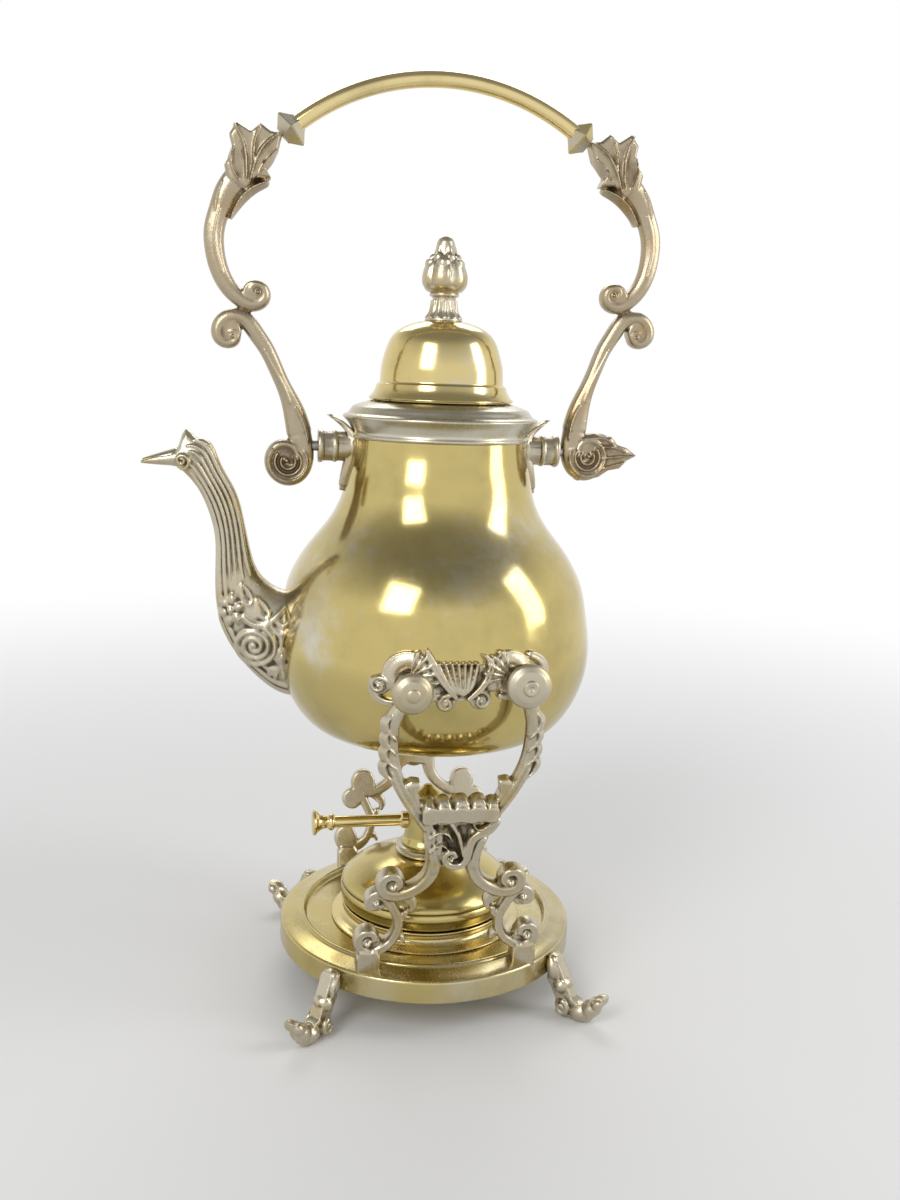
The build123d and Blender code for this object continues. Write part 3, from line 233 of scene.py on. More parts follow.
# %% [markdown]
# ## Cast bands
# The ornament is rococo: C-scrolls, S-scrolls, leaves and shells. A silversmith models these from
# strips of wax. We do the same: a `band` is a strip with its own width and height at each point of
# its line. It is drawn on a flat (u, v) sheet, and a `place` function lays that sheet on a plane, on
# the belly or round the finial. The cross-section decides the look: round, channelled or ridged.

# %% Bands, scrolls and beads
def section_round(s):
    return np.sqrt(np.clip(1 - s**2, 0, 1))


def section_soft(s):
    rounded = np.sqrt(np.clip(1 - np.abs(s) ** 2.6, 0, 1))
    return rounded * (0.78 + 0.22 * np.minimum(1, (np.abs(s) / 0.6) ** 2))


def section_flat(s):
    return np.sqrt(np.clip(1 - s**8, 0, 1))


def section_channel(s):
    return np.sqrt(np.clip(1 - s**8, 0, 1)) * (0.45 + 0.55 * np.minimum(1, (np.abs(s) / 0.72) ** 2))


def section_ridge(s):
    return np.clip(1 - np.abs(s), 0, 1) ** 0.85


def band(rows, place, front=3.0, back=3.0, section=section_channel, flat_back=True, across=13, bend=6):
    """A shell of one band. Rows are (u, v, half width) or (u, v, half width, share of height)."""
    rows = np.array(rows, float)
    if rows.shape[1] == 3:
        rows = np.c_[rows, np.ones(len(rows))]
    if bend:
        rows = flowing(rows, bend)
    rows[:, 2:] = np.maximum(rows[:, 2:], 0.12)
    step = np.gradient(rows[:, :2], axis=0)
    step /= np.hypot(step[:, 0], step[:, 1])[:, None]
    ends = []
    for i, sign in ((0, -1), (-1, 1)):
        cap = []
        for turn in (30, 55, 75, 86):
            a = math.radians(turn)
            reach = rows[i, 2] * math.sin(a) * sign
            cap.append([*(rows[i, :2] + step[i] * reach), rows[i, 2] * math.cos(a),
                        rows[i, 3] * (0.25 + 0.75 * math.cos(a))])
        ends.append(cap)
    rows = np.vstack([ends[0][::-1], rows, ends[1]])
    step = np.vstack([[step[0]] * 4, step, [step[-1]] * 4])
    side = np.column_stack([-step[:, 1], step[:, 0]])
    s = np.sin(np.linspace(-math.pi / 2, math.pi / 2, across))
    rear = section_flat(s) if flat_back else section_round(s)
    around = np.r_[s, s[-2:0:-1]]
    height = np.r_[front * section(s), -back * rear[-2:0:-1]]
    u = rows[:, 0, None] + side[:, 0, None] * rows[:, 2, None] * around
    v = rows[:, 1, None] + side[:, 1, None] * rows[:, 2, None] * around
    w = rows[:, 3, None] * height
    count = len(around)
    points = place(u.ravel(), v.ravel(), w.ravel())
    faces = []
    for i in range(len(rows) - 1):
        for j in range(count):
            k = (j + 1) % count
            faces.append([i * count + j, i * count + k, (i + 1) * count + k, (i + 1) * count + j])
    last = (len(rows) - 1) * count
    faces.append(list(range(count))[::-1])
    faces.append([last + j for j in range(count)])
    return points, faces


def winding(centre, start, turns, outer, inner, half_start, half_end, steps=20):
    """Rows of a band that winds into a spiral round a centre. Angles are in degrees."""
    rows = []
    for t in np.linspace(0, 1, max(6, int(abs(turns) * steps))):
        a = math.radians(start + 360 * turns * t)
        radius = outer * (inner / outer) ** t
        half = half_start + (half_end - half_start) * t
        rows.append((centre[0] + radius * math.cos(a), centre[1] + radius * math.sin(a), half))
    return rows


def bead(u, v, radius, place, front=3.0, back=1.0):
    """A round bead or boss on the sheet."""
    points, faces, rings, around = [], [], 9, 16
    for i in range(rings + 1):
        tilt = math.pi * i / rings - math.pi / 2
        height = math.sin(tilt) * (front if tilt > 0 else back)
        for j in range(around):
            a = 2 * math.pi * j / around
            reach = radius * max(math.cos(tilt), 0.02)
            points.append((u + reach * math.cos(a), v + reach * math.sin(a), height))
    points = np.array(points)
    for i in range(rings):
        for j in range(around):
            k = (j + 1) % around
            faces.append([i * around + j, i * around + k, (i + 1) * around + k, (i + 1) * around + j])
    faces.append(list(range(around))[::-1])
    faces.append([rings * around + j for j in range(around)])
    return place(points[:, 0], points[:, 1], points[:, 2]), faces


def slab(outline, place, front=3.0, back=3.0, bevel=0.8):
    """A flat plate over an outline, from `back` behind the sheet to `front` before it."""
    outline = np.array(outline, float)
    middle = outline.mean(0)
    inner = middle + (outline - middle) * (1 - bevel / np.hypot(*(outline - middle).T).mean())
    count = len(outline)
    points, faces = [], []
    for ring, w in ((inner, -back), (outline, bevel - back), (outline, front - bevel), (inner, front)):
        points.append(place(ring[:, 0], ring[:, 1], np.full(count, w)))
    for i in range(3):
        for j in range(count):
            k = (j + 1) % count
            faces.append([i * count + j, i * count + k, (i + 1) * count + k, (i + 1) * count + j])
    faces.append(list(range(count))[::-1])
    faces.append([3 * count + j for j in range(count)])
    return np.vstack(points), faces


def disc(u, v, radius, place, front=2.0, back=3.0):
    """A round plate behind a scroll."""
    a = np.linspace(0, 2 * math.pi, 28, endpoint=False)
    return slab(np.column_stack([u + radius * np.cos(a), v + radius * np.sin(a)]), place, front, back, 0.6)


def flipped(place):
    """The same sheet with u running the other way."""
    return lambda u, v, w: place(-u, v, w)


# %% [markdown]
# ## Casting: fusing bands into one piece
# Overlapping strips become one casting with a voxel remesh, which also leaves the small soft
# fillets that molten metal has. A light smoothing removes the voxel steps, and a decimate keeps the
# file small. Last, `mark_hollows` measures where the surface lies below its smoothed self. Real
# tarnish sits just there, and shade falls there too, so the materials use this measure, which is
# stored on the mesh itself, for tarnish and for painted shade in the hollows.

# %% Fuse bands into a casting and measure its hollows
def neighbours_mean(values, pairs, count):
    total = np.zeros((count, values.shape[1]))
    for column in range(values.shape[1]):
        total[:, column] = np.bincount(pairs[:, 0], values[pairs[:, 1], column], count)
        total[:, column] += np.bincount(pairs[:, 1], values[pairs[:, 0], column], count)
    number = np.bincount(pairs[:, 0], minlength=count) + np.bincount(pairs[:, 1], minlength=count)
    return total / np.maximum(number, 1)[:, None]


def mark_hollows(made, depth, rounds=14):
    """Stores `hollow`: 0.5 on even ground, up to 1 in grooves and down to 0 on worn edges."""
    mesh = made.data
    count = len(mesh.vertices)
    points = np.empty(count * 3)
    mesh.vertices.foreach_get("co", points)
    points = points.reshape(-1, 3) / MM
    pairs = np.empty(len(mesh.edges) * 2, int)
    mesh.edges.foreach_get("vertices", pairs)
    pairs = pairs.reshape(-1, 2)
    normals = np.empty(count * 3)
    mesh.vertices.foreach_get("normal", normals)
    normals = normals.reshape(-1, 3)
    soft = points.copy()
    for _ in range(rounds):
        soft = 0.5 * soft + 0.5 * neighbours_mean(soft, pairs, count)
    below = ((soft - points) * normals).sum(1)
    below = np.clip(0.5 + 0.5 * below / depth, 0, 1)[:, None]
    for _ in range(2):
        below = 0.5 * below + 0.5 * neighbours_mean(below, pairs, count)
    layer = mesh.attributes.new("hollow", "FLOAT", "POINT")
    layer.data.foreach_set("value", below.ravel().astype(np.float32))


def cast(name, shells, material, body, *nodes, voxel=0.42, keep=0.5, hollow_depth=0.28, cut=None):
    """One casting from many shells. `cut` lists shells to take away. Without voxels nothing fuses."""
    blank = bpy.data.meshes.new(name)
    points, faces = joined(shells)
    blank.from_pydata((points * MM).tolist(), [], faces)
    build = bmesh.new()
    build.from_mesh(blank)
    bmesh.ops.recalc_face_normals(build, faces=build.faces)
    build.to_mesh(blank)
    build.free()
    made = bpy.data.objects.new(name, blank)
    bpy.context.scene.collection.objects.link(made)
    tools = []
    if voxel:
        fuse = made.modifiers.new("fuse", "REMESH")
        fuse.mode = "VOXEL"
        fuse.voxel_size = voxel * MM
    for shell in cut or []:
        tool_mesh = bpy.data.meshes.new("tool")
        tool_mesh.from_pydata((shell[0] * MM).tolist(), [], shell[1])
        tool = bpy.data.objects.new("tool", tool_mesh)
        bpy.context.scene.collection.objects.link(tool)
        bore = made.modifiers.new("bore", "BOOLEAN")
        bore.object = tool
        bore.solver = "FAST"
        tools.append(tool)
    soften = made.modifiers.new("soften", "SMOOTH")
    soften.factor = 0.5
    soften.iterations = 3
    thin = made.modifiers.new("thin", "DECIMATE")
    thin.ratio = keep
    ready = made.evaluated_get(bpy.context.evaluated_depsgraph_get())
    mesh = bpy.data.meshes.new_from_object(ready)
    made.modifiers.clear()
    made.data = mesh
    mesh.name = name
    bpy.data.meshes.remove(blank)
    for tool in tools:
        bpy.data.objects.remove(tool)
    shade(mesh, 180)
    mark_hollows(made, hollow_depth)
    print(f"{name}: {len(mesh.polygons)} faces")
    return dressed(made, material, body, *nodes)
# %% [markdown]
# ## Finishes
# A few effects are shared by several finishes, so each is a node group with named sockets: worn
# plate, the rings left by the polishing wheel, tarnish in the hollows, and dust. The groups give
# masks and heights only. The finishes below decide what metal shows where.

# %% Small helpers for shader nodes
def new_group(name, inputs, outputs):
    """A node group. Inputs are (name, kind, value) and outputs are (name, kind)."""
    tree = bpy.data.node_groups.new(name, "ShaderNodeTree")
    for label, kind, value in inputs:
        socket = tree.interface.new_socket(label, in_out="INPUT", socket_type=f"NodeSocket{kind}")
        socket.default_value = value
    for label, kind in outputs:
        tree.interface.new_socket(label, in_out="OUTPUT", socket_type=f"NodeSocket{kind}")
    return tree, tree.nodes.new("NodeGroupInput").outputs, tree.nodes.new("NodeGroupOutput").inputs


def add(tree, kind, settings=None, **sockets):
    """A node with its settings. A socket is given as a number or as another node's output."""
    node = tree.nodes.new(kind)
    for key, value in (settings or {}).items():
        setattr(node, key, value)
    for key, value in sockets.items():
        label = key.replace("_", " ").strip()
        socket = node.inputs[int(label)] if label.isdigit() else node.inputs[label]
        if isinstance(value, bpy.types.NodeSocket):
            tree.links.new(value, socket)
        else:
            socket.default_value = value
    return node


def math_node(tree, operation, a, b=0.0, c=0.0, clamp=False):
    settings = {"operation": operation, "use_clamp": clamp}
    return add(tree, "ShaderNodeMath", settings, _0=a, _1=b, _2=c).outputs[0]


def smooth_step(tree, value, low, high, start=0.0, end=1.0):
    node = add(tree, "ShaderNodeMapRange", {"interpolation_type": "SMOOTHSTEP"}, Value=value)
    for label, number in zip(("From Min", "From Max", "To Min", "To Max"), (low, high, start, end)):
        if isinstance(number, bpy.types.NodeSocket):
            tree.links.new(number, node.inputs[label])
        else:
            node.inputs[label].default_value = number
    return node.outputs[0]


def spots(tree, vector, size_mm, detail=3.0, rough=0.55, distort=0.0):
    """Noise whose blotches are about size_mm across, from object coordinates in metres."""
    settings = {"noise_dimensions": "3D"}
    node = add(tree, "ShaderNodeTexNoise", settings, Vector=vector, Scale=1000.0 / size_mm)
    node.inputs["Detail"].default_value = detail
    node.inputs["Roughness"].default_value = rough
    node.inputs["Distortion"].default_value = distort
    return node.outputs["Fac"]


def blend(tree, mask, first, second):
    """Colour `first` where the mask is 0 and `second` where it is 1."""
    node = add(tree, "ShaderNodeMix", {"data_type": "RGBA"})
    for index, value in ((0, mask), (6, first), (7, second)):
        if isinstance(value, bpy.types.NodeSocket):
            tree.links.new(value, node.inputs[index])
        else:
            node.inputs[index].default_value = value if index == 0 else (*value, 1.0)
    return node.outputs[2]


# %% [markdown]
# **Worn plate.** Thin silver plate rubs through to the brass in soft patches, with small islands
# along their shores. A large noise makes the patches and a small one frays the edge between them.

# %% Node group: worn plate
def make_worn_plate():
    tree, given, out = new_group(
        "worn_plate",
        [("Plate left", "Float", 0.4), ("Patch size mm", "Float", 60.0), ("Softness", "Float", 0.06)],
        [("Plate", "Float")],
    )
    place = add(tree, "ShaderNodeTexCoord").outputs["Object"]
    size = math_node(tree, "DIVIDE", 1000.0, given["Patch size mm"])
    broad = add(tree, "ShaderNodeTexNoise", Vector=place, Scale=size, Detail=2.0, Distortion=0.6)
    fray = spots(tree, place, 7.0, 6.0, 0.65)
    both = math_node(tree, "MULTIPLY_ADD", fray, 0.28, broad.outputs["Fac"])
    middle = math_node(tree, "SUBTRACT", 0.96, math_node(tree, "MULTIPLY", given["Plate left"], 0.64))
    low = math_node(tree, "SUBTRACT", middle, given["Softness"])
    high = math_node(tree, "ADD", middle, given["Softness"])
    tree.links.new(smooth_step(tree, both, low, high), out["Plate"])
    return tree


worn_plate = make_worn_plate()
print("node group:", worn_plate.name)

# %% [markdown]
# **Polishing rings.** A turned piece is polished while it spins, so the finest scratches run round
# it. Noise that only knows the distance from the axis and the height gives such rings. Random
# scratches from years of wiping lie over them.

# %% Node group: polishing rings and wiping scratches
def make_rubbed():
    tree, given, out = new_group(
        "rubbed",
        [("Rings", "Float", 0.5), ("Scratches", "Float", 0.5), ("Dents", "Float", 0.3)],
        [("Roughness", "Float"), ("Height", "Float")],
    )
    place = add(tree, "ShaderNodeTexCoord").outputs["Object"]
    flat = add(tree, "ShaderNodeVectorMath", {"operation": "MULTIPLY"}, _0=place, _1=(1.0, 1.0, 0.0))
    radius = add(tree, "ShaderNodeVectorMath", {"operation": "LENGTH"}, _0=flat.outputs[0])
    height = add(tree, "ShaderNodeSeparateXYZ", Vector=place).outputs["Z"]
    track = add(tree, "ShaderNodeCombineXYZ", X=radius.outputs["Value"], Y=height)
    rings = spots(tree, track.outputs[0], 1.4, 4.0, 0.7)
    stretch = add(tree, "ShaderNodeMapping", Vector=place)
    stretch.inputs["Rotation"].default_value = (0.5, 0.9, 0.3)
    stretch.inputs["Scale"].default_value = (1.0, 0.06, 1.0)
    lines = smooth_step(tree, spots(tree, stretch.outputs[0], 0.7, 2.0, 0.6), 0.6, 0.74)
    haze = spots(tree, place, 26.0, 4.0, 0.6)
    rough = math_node(tree, "MULTIPLY", rings, given["Rings"])
    rough = math_node(tree, "MULTIPLY_ADD", lines, given["Scratches"], rough)
    rough = math_node(tree, "MULTIPLY_ADD", haze, 0.6, rough)
    tree.links.new(rough, out["Roughness"])
    dents = spots(tree, place, 24.0, 1.5, 0.4)
    lift = math_node(tree, "MULTIPLY", dents, given["Dents"])
    lift = math_node(tree, "MULTIPLY_ADD", math_node(tree, "MULTIPLY", rings, given["Rings"]), 0.012, lift)
    tree.links.new(lift, out["Height"])
    return tree


rubbed = make_rubbed()
print("node group:", rubbed.name)

# %% [markdown]
# ** Tarnish and painted shade.** The wax model's grooves keep their dirt, while a cloth keeps the high
# edges bright. The grooves are darkened for that tarnish and also as painted shade, where less light
# reaches. The group reads the `hollow` measure that `cast` stored on the mesh, and adds a slow noise,
# since no cloth reaches everywhere alike.

# %% Node group: tarnish and painted shade
def make_tarnish_and_shade():
    tree, given, out = new_group(
        "tarnish_and_shade",
        [("Depth", "Float", 0.5), ("Uneven", "Float", 0.3)],
        [("Dark", "Float"), ("Edge", "Float")],
    )
    hollow = add(tree, "ShaderNodeAttribute", {"attribute_name": "hollow"}).outputs["Fac"]
    place = add(tree, "ShaderNodeTexCoord").outputs["Object"]
    patch = math_node(tree, "SUBTRACT", spots(tree, place, 9.0, 4.0, 0.6), 0.5)
    level = math_node(tree, "MULTIPLY_ADD", patch, given["Uneven"], hollow)
    start = math_node(tree, "SUBTRACT", 0.86, math_node(tree, "MULTIPLY", given["Depth"], 0.42))
    stop = math_node(tree, "ADD", start, 0.3)
    # Dark marks the grooves: partly tarnish, partly painted shade. Edge marks the rubbed high edges.
    tree.links.new(smooth_step(tree, level, start, stop), out["Dark"])
    tree.links.new(smooth_step(tree, level, 0.44, 0.2), out["Edge"])
    return tree


tarnish_and_shade = make_tarnish_and_shade()
print("node group:", tarnish_and_shade.name)

# %% [markdown]
# **Dust.** It settles on what faces up: tiny pale specks and a thin film between them. The group
# compares the surface direction with straight up.

# %% Node group: dust
def make_dust():
    tree, given, out = new_group("dust", [("Amount", "Float", 0.5)], [("Dust", "Float")])
    place = add(tree, "ShaderNodeTexCoord").outputs["Object"]
    facing = add(tree, "ShaderNodeNewGeometry").outputs["Normal"]
    up = smooth_step(tree, add(tree, "ShaderNodeSeparateXYZ", Vector=facing).outputs["Z"], 0.35, 0.95)
    cells = add(tree, "ShaderNodeTexVoronoi", {"feature": "F1"}, Vector=place, Scale=520.0)
    size = add(tree, "ShaderNodeSeparateColor", Color=cells.outputs["Color"]).outputs[0]
    limit = math_node(tree, "MULTIPLY", size, 0.16)
    speck = math_node(tree, "LESS_THAN", cells.outputs["Distance"], limit)
    film = smooth_step(tree, spots(tree, place, 16.0, 5.0, 0.7), 0.5, 0.75, 0.0, 0.35)
    both = math_node(tree, "MAXIMUM", speck, film)
    both = math_node(tree, "MULTIPLY", both, given["Amount"])
    tree.links.new(math_node(tree, "MULTIPLY", both, up, clamp=True), out["Dust"])
    return tree


dust = make_dust()
print("node group:", dust.name)

# %% [markdown]
# ## Metals
# Polished metal has almost no colour of its own; what one sees is what it mirrors, tinted. Brass
# tints towards olive gold, worn silver towards pale champagne. `plate_metal` makes a finish for
# sheet pieces and `cast_metal` one for castings.

# %% Sheet metal finishes
BRASS = (0.56, 0.455, 0.18)
GOLD = (0.68, 0.55, 0.24)
SILVER = (0.6, 0.565, 0.46)
CHAMPAGNE = (0.54, 0.485, 0.37)
# The next colour darkens the castings' hollows: partly tarnish, partly painted shade.
GRIME_AND_SHADE = (0.06, 0.048, 0.03)
BRIGHT_GOLD = (0.76, 0.62, 0.31)
WORN_CASTING = (0.48, 0.39, 0.21)
BAIL_PLATE = (0.42, 0.355, 0.25)
BAIL_WORN = (0.4, 0.29, 0.16)
# The next colour does the same on the bail: partly tarnish, partly painted shade in its hollows.
BAIL_GRIME_AND_SHADE = (0.15, 0.105, 0.065)
COPPER = (0.52, 0.26, 0.13)
STEEL = (0.36, 0.35, 0.34)
RUST = (0.2, 0.13, 0.09)


def start_material(name):
    material = bpy.data.materials.new(name)
    material.use_nodes = True
    tree = material.node_tree
    surface = tree.nodes["Principled BSDF"]
    surface.inputs["Metallic"].default_value = 1.0
    return material, tree, surface


def use(tree, shared, **values):
    node = tree.nodes.new("ShaderNodeGroup")
    node.node_tree = shared
    for key, value in values.items():
        node.inputs[key.replace("_", " ")].default_value = value
    return node.outputs


def plate_metal(name, base, top, plate, patch_mm, soft, rough, rings, scratches, dents, dusty):
    """Sheet metal: `top` is the plate that is left on the `base` metal."""
    material, tree, surface = start_material(name)
    cover = use(tree, worn_plate, Plate_left=plate, Patch_size_mm=patch_mm, Softness=soft)["Plate"]
    colour = blend(tree, cover, base, top)
    place = add(tree, "ShaderNodeTexCoord").outputs["Object"]
    stain = smooth_step(tree, spots(tree, place, 34.0, 5.0, 0.62), 0.42, 0.72, 0.0, 0.5)
    colour = blend(tree, stain, colour, tuple(0.62 * c for c in base))
    marks = use(tree, rubbed, Rings=rings, Scratches=scratches, Dents=dents)
    settled = use(tree, dust, Amount=dusty)["Dust"]
    colour = blend(tree, settled, colour, (0.5, 0.47, 0.42))
    tree.links.new(colour, surface.inputs["Base Color"])
    tree.links.new(smooth_step(tree, settled, 0.0, 1.0, 1.0, 0.1), surface.inputs["Metallic"])
    blur = math_node(tree, "MULTIPLY_ADD", marks["Roughness"], 0.2, rough - 0.08)
    blur = math_node(tree, "MULTIPLY_ADD", settled, 0.5, blur)
    tree.links.new(math_node(tree, "MULTIPLY_ADD", cover, 0.05, blur), surface.inputs["Roughness"])
    bump = add(tree, "ShaderNodeBump", Height=marks["Height"], Distance=0.0005, Strength=0.5)
    tree.links.new(bump.outputs[0], surface.inputs["Normal"])
    return material


body_metal = plate_metal("polished_brass", BRASS, SILVER, 0.3, 90.0, 0.1, 0.13, 0.25, 0.3, 0.3, 0.0)
tray_metal = plate_metal("tray_brass", BRASS, SILVER, 0.3, 60.0, 0.32, 0.2, 0.35, 0.4, 0.5, 0.8)
lid_metal = plate_metal("lid_brass", GOLD, SILVER, 0.16, 52.0, 0.1, 0.14, 0.3, 0.3, 0.3, 0.1)
collar_metal = plate_metal("silver_plate", BRASS, SILVER, 0.8, 40.0, 0.08, 0.2, 0.4, 0.4, 0.3, 0.6)
tank_metal = plate_metal("burner_brass", BRASS, SILVER, 0.2, 60.0, 0.1, 0.17, 0.4, 0.4, 0.3, 0.1)
knob_metal = plate_metal("knob_plate", BRASS, CHAMPAGNE, 0.72, 14.0, 0.1, 0.3, 0.5, 0.4, 0.3, 0.1)
seat_metal = plate_metal("seat_brass", GOLD, SILVER, 0.35, 50.0, 0.3, 0.2, 0.4, 0.4, 0.3, 0.4)
bright_metal = plate_metal("bright_brass", BRIGHT_GOLD, SILVER, 0.0, 60.0, 0.1, 0.14, 0.3, 0.4, 0.2, 0.0)
print("sheet finishes:", [m.name for m in bpy.data.materials if m.use_nodes][-6:])

# %% Cast finishes
def cast_metal(name, plain, worn, dark, depth, rough):
    """Cast ornament: hollows dark with tarnish and painted shade, pale high ground, brassy rubbed edges."""
    material, tree, surface = start_material(name)
    tarnish_shade_masks = use(tree, tarnish_and_shade, Depth=depth, Uneven=0.45)
    cover = use(tree, worn_plate, Plate_left=0.62, Patch_size_mm=24.0, Softness=0.12)["Plate"]
    colour = blend(tree, cover, worn, plain)
    rubbed_edge = math_node(tree, "MULTIPLY", tarnish_shade_masks["Edge"], 0.4)
    colour = blend(tree, rubbed_edge, colour, tuple(min(1.0, 1.12 * c) for c in plain))
    # Painted shade: the hollows go dark, partly as real tarnish and partly standing in for shade there.
    colour = blend(tree, math_node(tree, "MULTIPLY", tarnish_shade_masks["Dark"], 0.9), colour, dark)
    tree.links.new(colour, surface.inputs["Base Color"])
    place = add(tree, "ShaderNodeTexCoord").outputs["Object"]
    grain = spots(tree, place, 1.1, 4.0, 0.7)
    blur = math_node(tree, "MULTIPLY_ADD", grain, 0.16, rough - 0.08)
    blur = math_node(tree, "MULTIPLY_ADD", tarnish_shade_masks["Dark"], 0.3, blur)
    tree.links.new(blur, surface.inputs["Roughness"])
    pits = math_node(tree, "MULTIPLY_ADD", spots(tree, place, 3.6, 2.0, 0.5), 1.6, grain)
    bump = add(tree, "ShaderNodeBump", Height=pits, Distance=0.00012, Strength=0.55)
    tree.links.new(bump.outputs[0], surface.inputs["Normal"])
    return material


cast_silver = cast_metal("cast_silver_plate", CHAMPAGNE, WORN_CASTING, GRIME_AND_SHADE, 0.66, 0.29)
bail_silver = cast_metal("bail_silver_plate", BAIL_PLATE, BAIL_WORN, BAIL_GRIME_AND_SHADE, 0.6, 0.32)

# %% [markdown]
# Three small finishes are left: the cotton wick, charred at its end, the copper of the wick tube,
# and the steel of the screws.

# %% Cotton, copper and steel
def make_cotton():
    material, tree, surface = start_material("wick_cotton")
    surface.inputs["Metallic"].default_value = 0.0
    place = add(tree, "ShaderNodeTexCoord").outputs["Object"]
    weave = add(tree, "ShaderNodeTexWave", {"bands_direction": "DIAGONAL"}, Vector=place, Scale=260.0)
    weave.inputs["Distortion"].default_value = 2.0
    char = smooth_step(tree, add(tree, "ShaderNodeSeparateXYZ", Vector=place).outputs["Z"], 0.066, 0.078)
    colour = blend(tree, weave.outputs["Fac"], (0.36, 0.31, 0.24), (0.66, 0.6, 0.5))
    tree.links.new(blend(tree, char, colour, (0.02, 0.018, 0.016)), surface.inputs["Base Color"])
    surface.inputs["Roughness"].default_value = 0.95
    bump = add(tree, "ShaderNodeBump", Height=weave.outputs["Fac"], Distance=0.0004, Strength=0.8)
    tree.links.new(bump.outputs[0], surface.inputs["Normal"])
    return material


cotton = make_cotton()
copper = plate_metal("burner_copper", COPPER, BRASS, 0.35, 20.0, 0.15, 0.34, 0.3, 0.4, 0.2, 0.1)
steel = plate_metal("steel_fixings", STEEL, RUST, 0.25, 8.0, 0.1, 0.34, 0.4, 0.5, 0.2, 0.1)
finishes = {
    "polished_brass": body_metal, "silver_plate": collar_metal, "bright_brass": bright_metal,
    "cast_silver_plate": cast_silver, "wick_cotton": cotton, "burner_copper": copper,
    "steel_fixings": steel,
}
for subpart in frame["record"]["subparts"]:
    node = frame["nodes"][subpart["node"]]
    for slot in node.material_slots:
        slot.material = finishes[subpart["material_slot"]]
print("finishes on the CAD pieces:", sorted(finishes))

# %% [markdown]
# ## Spun and turned pieces
# Each profile is read as (radius, height) pairs. The sheets have their true wall, since the lid
# opens and the burner lifts out, so the insides are seen too.

# %% Kettle body and its foot ring
body_low = body_bottom + 4.0
body_line = flowing([
    (37.0, body_low), (47.4, body_low + 1.6), (55.7, body_low + 6.0), (62.3, body_low + 14.0),
    (67.0, body_low + 24.0), (69.3, body_low + 34.4), (belly_radius - 0.4, body_low + 44.0),
    (67.7, body_low + 57.0), (65.2, body_low + 68.4), (60.4, body_low + 78.2), (55.4, body_low + 85.4),
    (49.9, body_low + 92.2), (45.2, body_low + 99.4), (42.0, body_low + 107.2), (40.4, body_low + 115.2),
    (38.4, body_low + 124.0), (37.5, neck_top),
], 8)
floor_line = [(0.0, body_low + 0.1), (20.0, body_low + 0.05), (35.0, body_low)]
body_profile = sheet_profile(np.vstack([floor_line, body_line]), 1.3)
piece("visual_kettle_body", uneven(turned(body_profile, 256), 0.12, 30.0, 4.0), body_metal,
      "kettle", "kettle_body")
ring_r, ring_z = 33.0, body_low - 2.4
ring_profile = [
    (ring_r - 2.6, body_low + 0.2), (ring_r - 2.2, ring_z + 0.6), (ring_r - 1.6, ring_z),
    (ring_r - 0.4, ring_z),
    (ring_r, ring_z + 0.7), (ring_r + 0.3, body_low - 1.0), (ring_r + 1.6, body_low + 0.2),
]
piece("visual_kettle_foot_ring", turned(ring_profile, 128), bright_metal, "kettle", "kettle_foot_ring")
print("body profile:", len(body_profile), "points")

# %% [markdown]
# The collar starts with a small bead line on the neck, flares to a rolled rim and turns in again as
# the shoulder that carries the lid.

# %% Mouth collar
def collar_profile():
    rim = collar_radius
    low = mouth_height - 15.5
    outer = flowing([
        (37.7, low - 0.9), (38.5, low - 0.5), (38.9, low + 0.2), (38.6, low + 0.9), (38.3, low + 1.6),
        (38.8, low + 3.4), (40.1, low + 5.6), (rim - 0.5, low + 7.5), (rim, low + 8.2),
        (rim - 0.2, low + 8.8), (rim - 0.9, low + 9.3), (rim - 2.2, low + 9.9), (38.6, low + 12.0),
        (35.0, low + 13.9), (31.0, mouth_height - 0.4), (29.2, mouth_height),
    ], 5)
    inner = [
        (28.9, mouth_height - 0.3), (28.9, mouth_height - 3.6), (30.0, mouth_height - 3.6),
        (30.0, mouth_height - 1.2), (31.4, mouth_height - 1.5), (35.0, low + 12.8), (38.4, low + 10.8),
        (40.6, low + 8.4), (38.6, low + 5.0), (37.6, low + 2.0), (37.6, low - 0.9),
    ]
    return list(map(tuple, outer)) + inner


piece("visual_mouth_collar", turned(collar_profile(), 224), collar_metal, "kettle", "mouth_collar")

# %% [markdown]
# The lid is spun in one sheet: a flared brim with a thin turned edge, a small step, and a dome that
# is nearly upright at its foot and flat on top.

# %% Lid
def lid_line():
    low = brim_height
    step = dome_top - 27.4
    brim = [
        (brim_radius - 0.5, low + 0.1), (brim_radius, low + 0.5), (brim_radius - 0.2, low + 1.1),
        (brim_radius - 1.0, low + 1.7), (29.4, low + 3.1), (28.5, low + 4.8), (28.1, step - 0.6),
        (27.9, step - 0.15), (27.3, step + 0.1), (26.9, step + 0.5),
    ]
    dome = flowing([
        (26.7, step + 0.9), (26.6, step + 3.0), (26.4, step + 6.4), (25.6, step + 10.6),
        (24.3, step + 14.9), (22.6, step + 18.9), (20.9, step + 21.2), (18.4, step + 23.2),
        (14.7, step + 25.1), (10.0, step + 26.5), (5.0, dome_top - 0.2), (0.0, dome_top),
    ], 6)
    return np.vstack([brim, dome])


piece("visual_lid_shell", turned(sheet_profile(lid_line(), 1.0), 224), lid_metal, "lid", "lid_shell")
print("lid dome", round(dome_top - brim_height, 1), "mm high")

# %% [markdown]
# The tray: an upright band, a deck that climbs gently to a raised bead, and a sunk floor. The
# burner's seat stands on the floor and widens to a rolled lip.

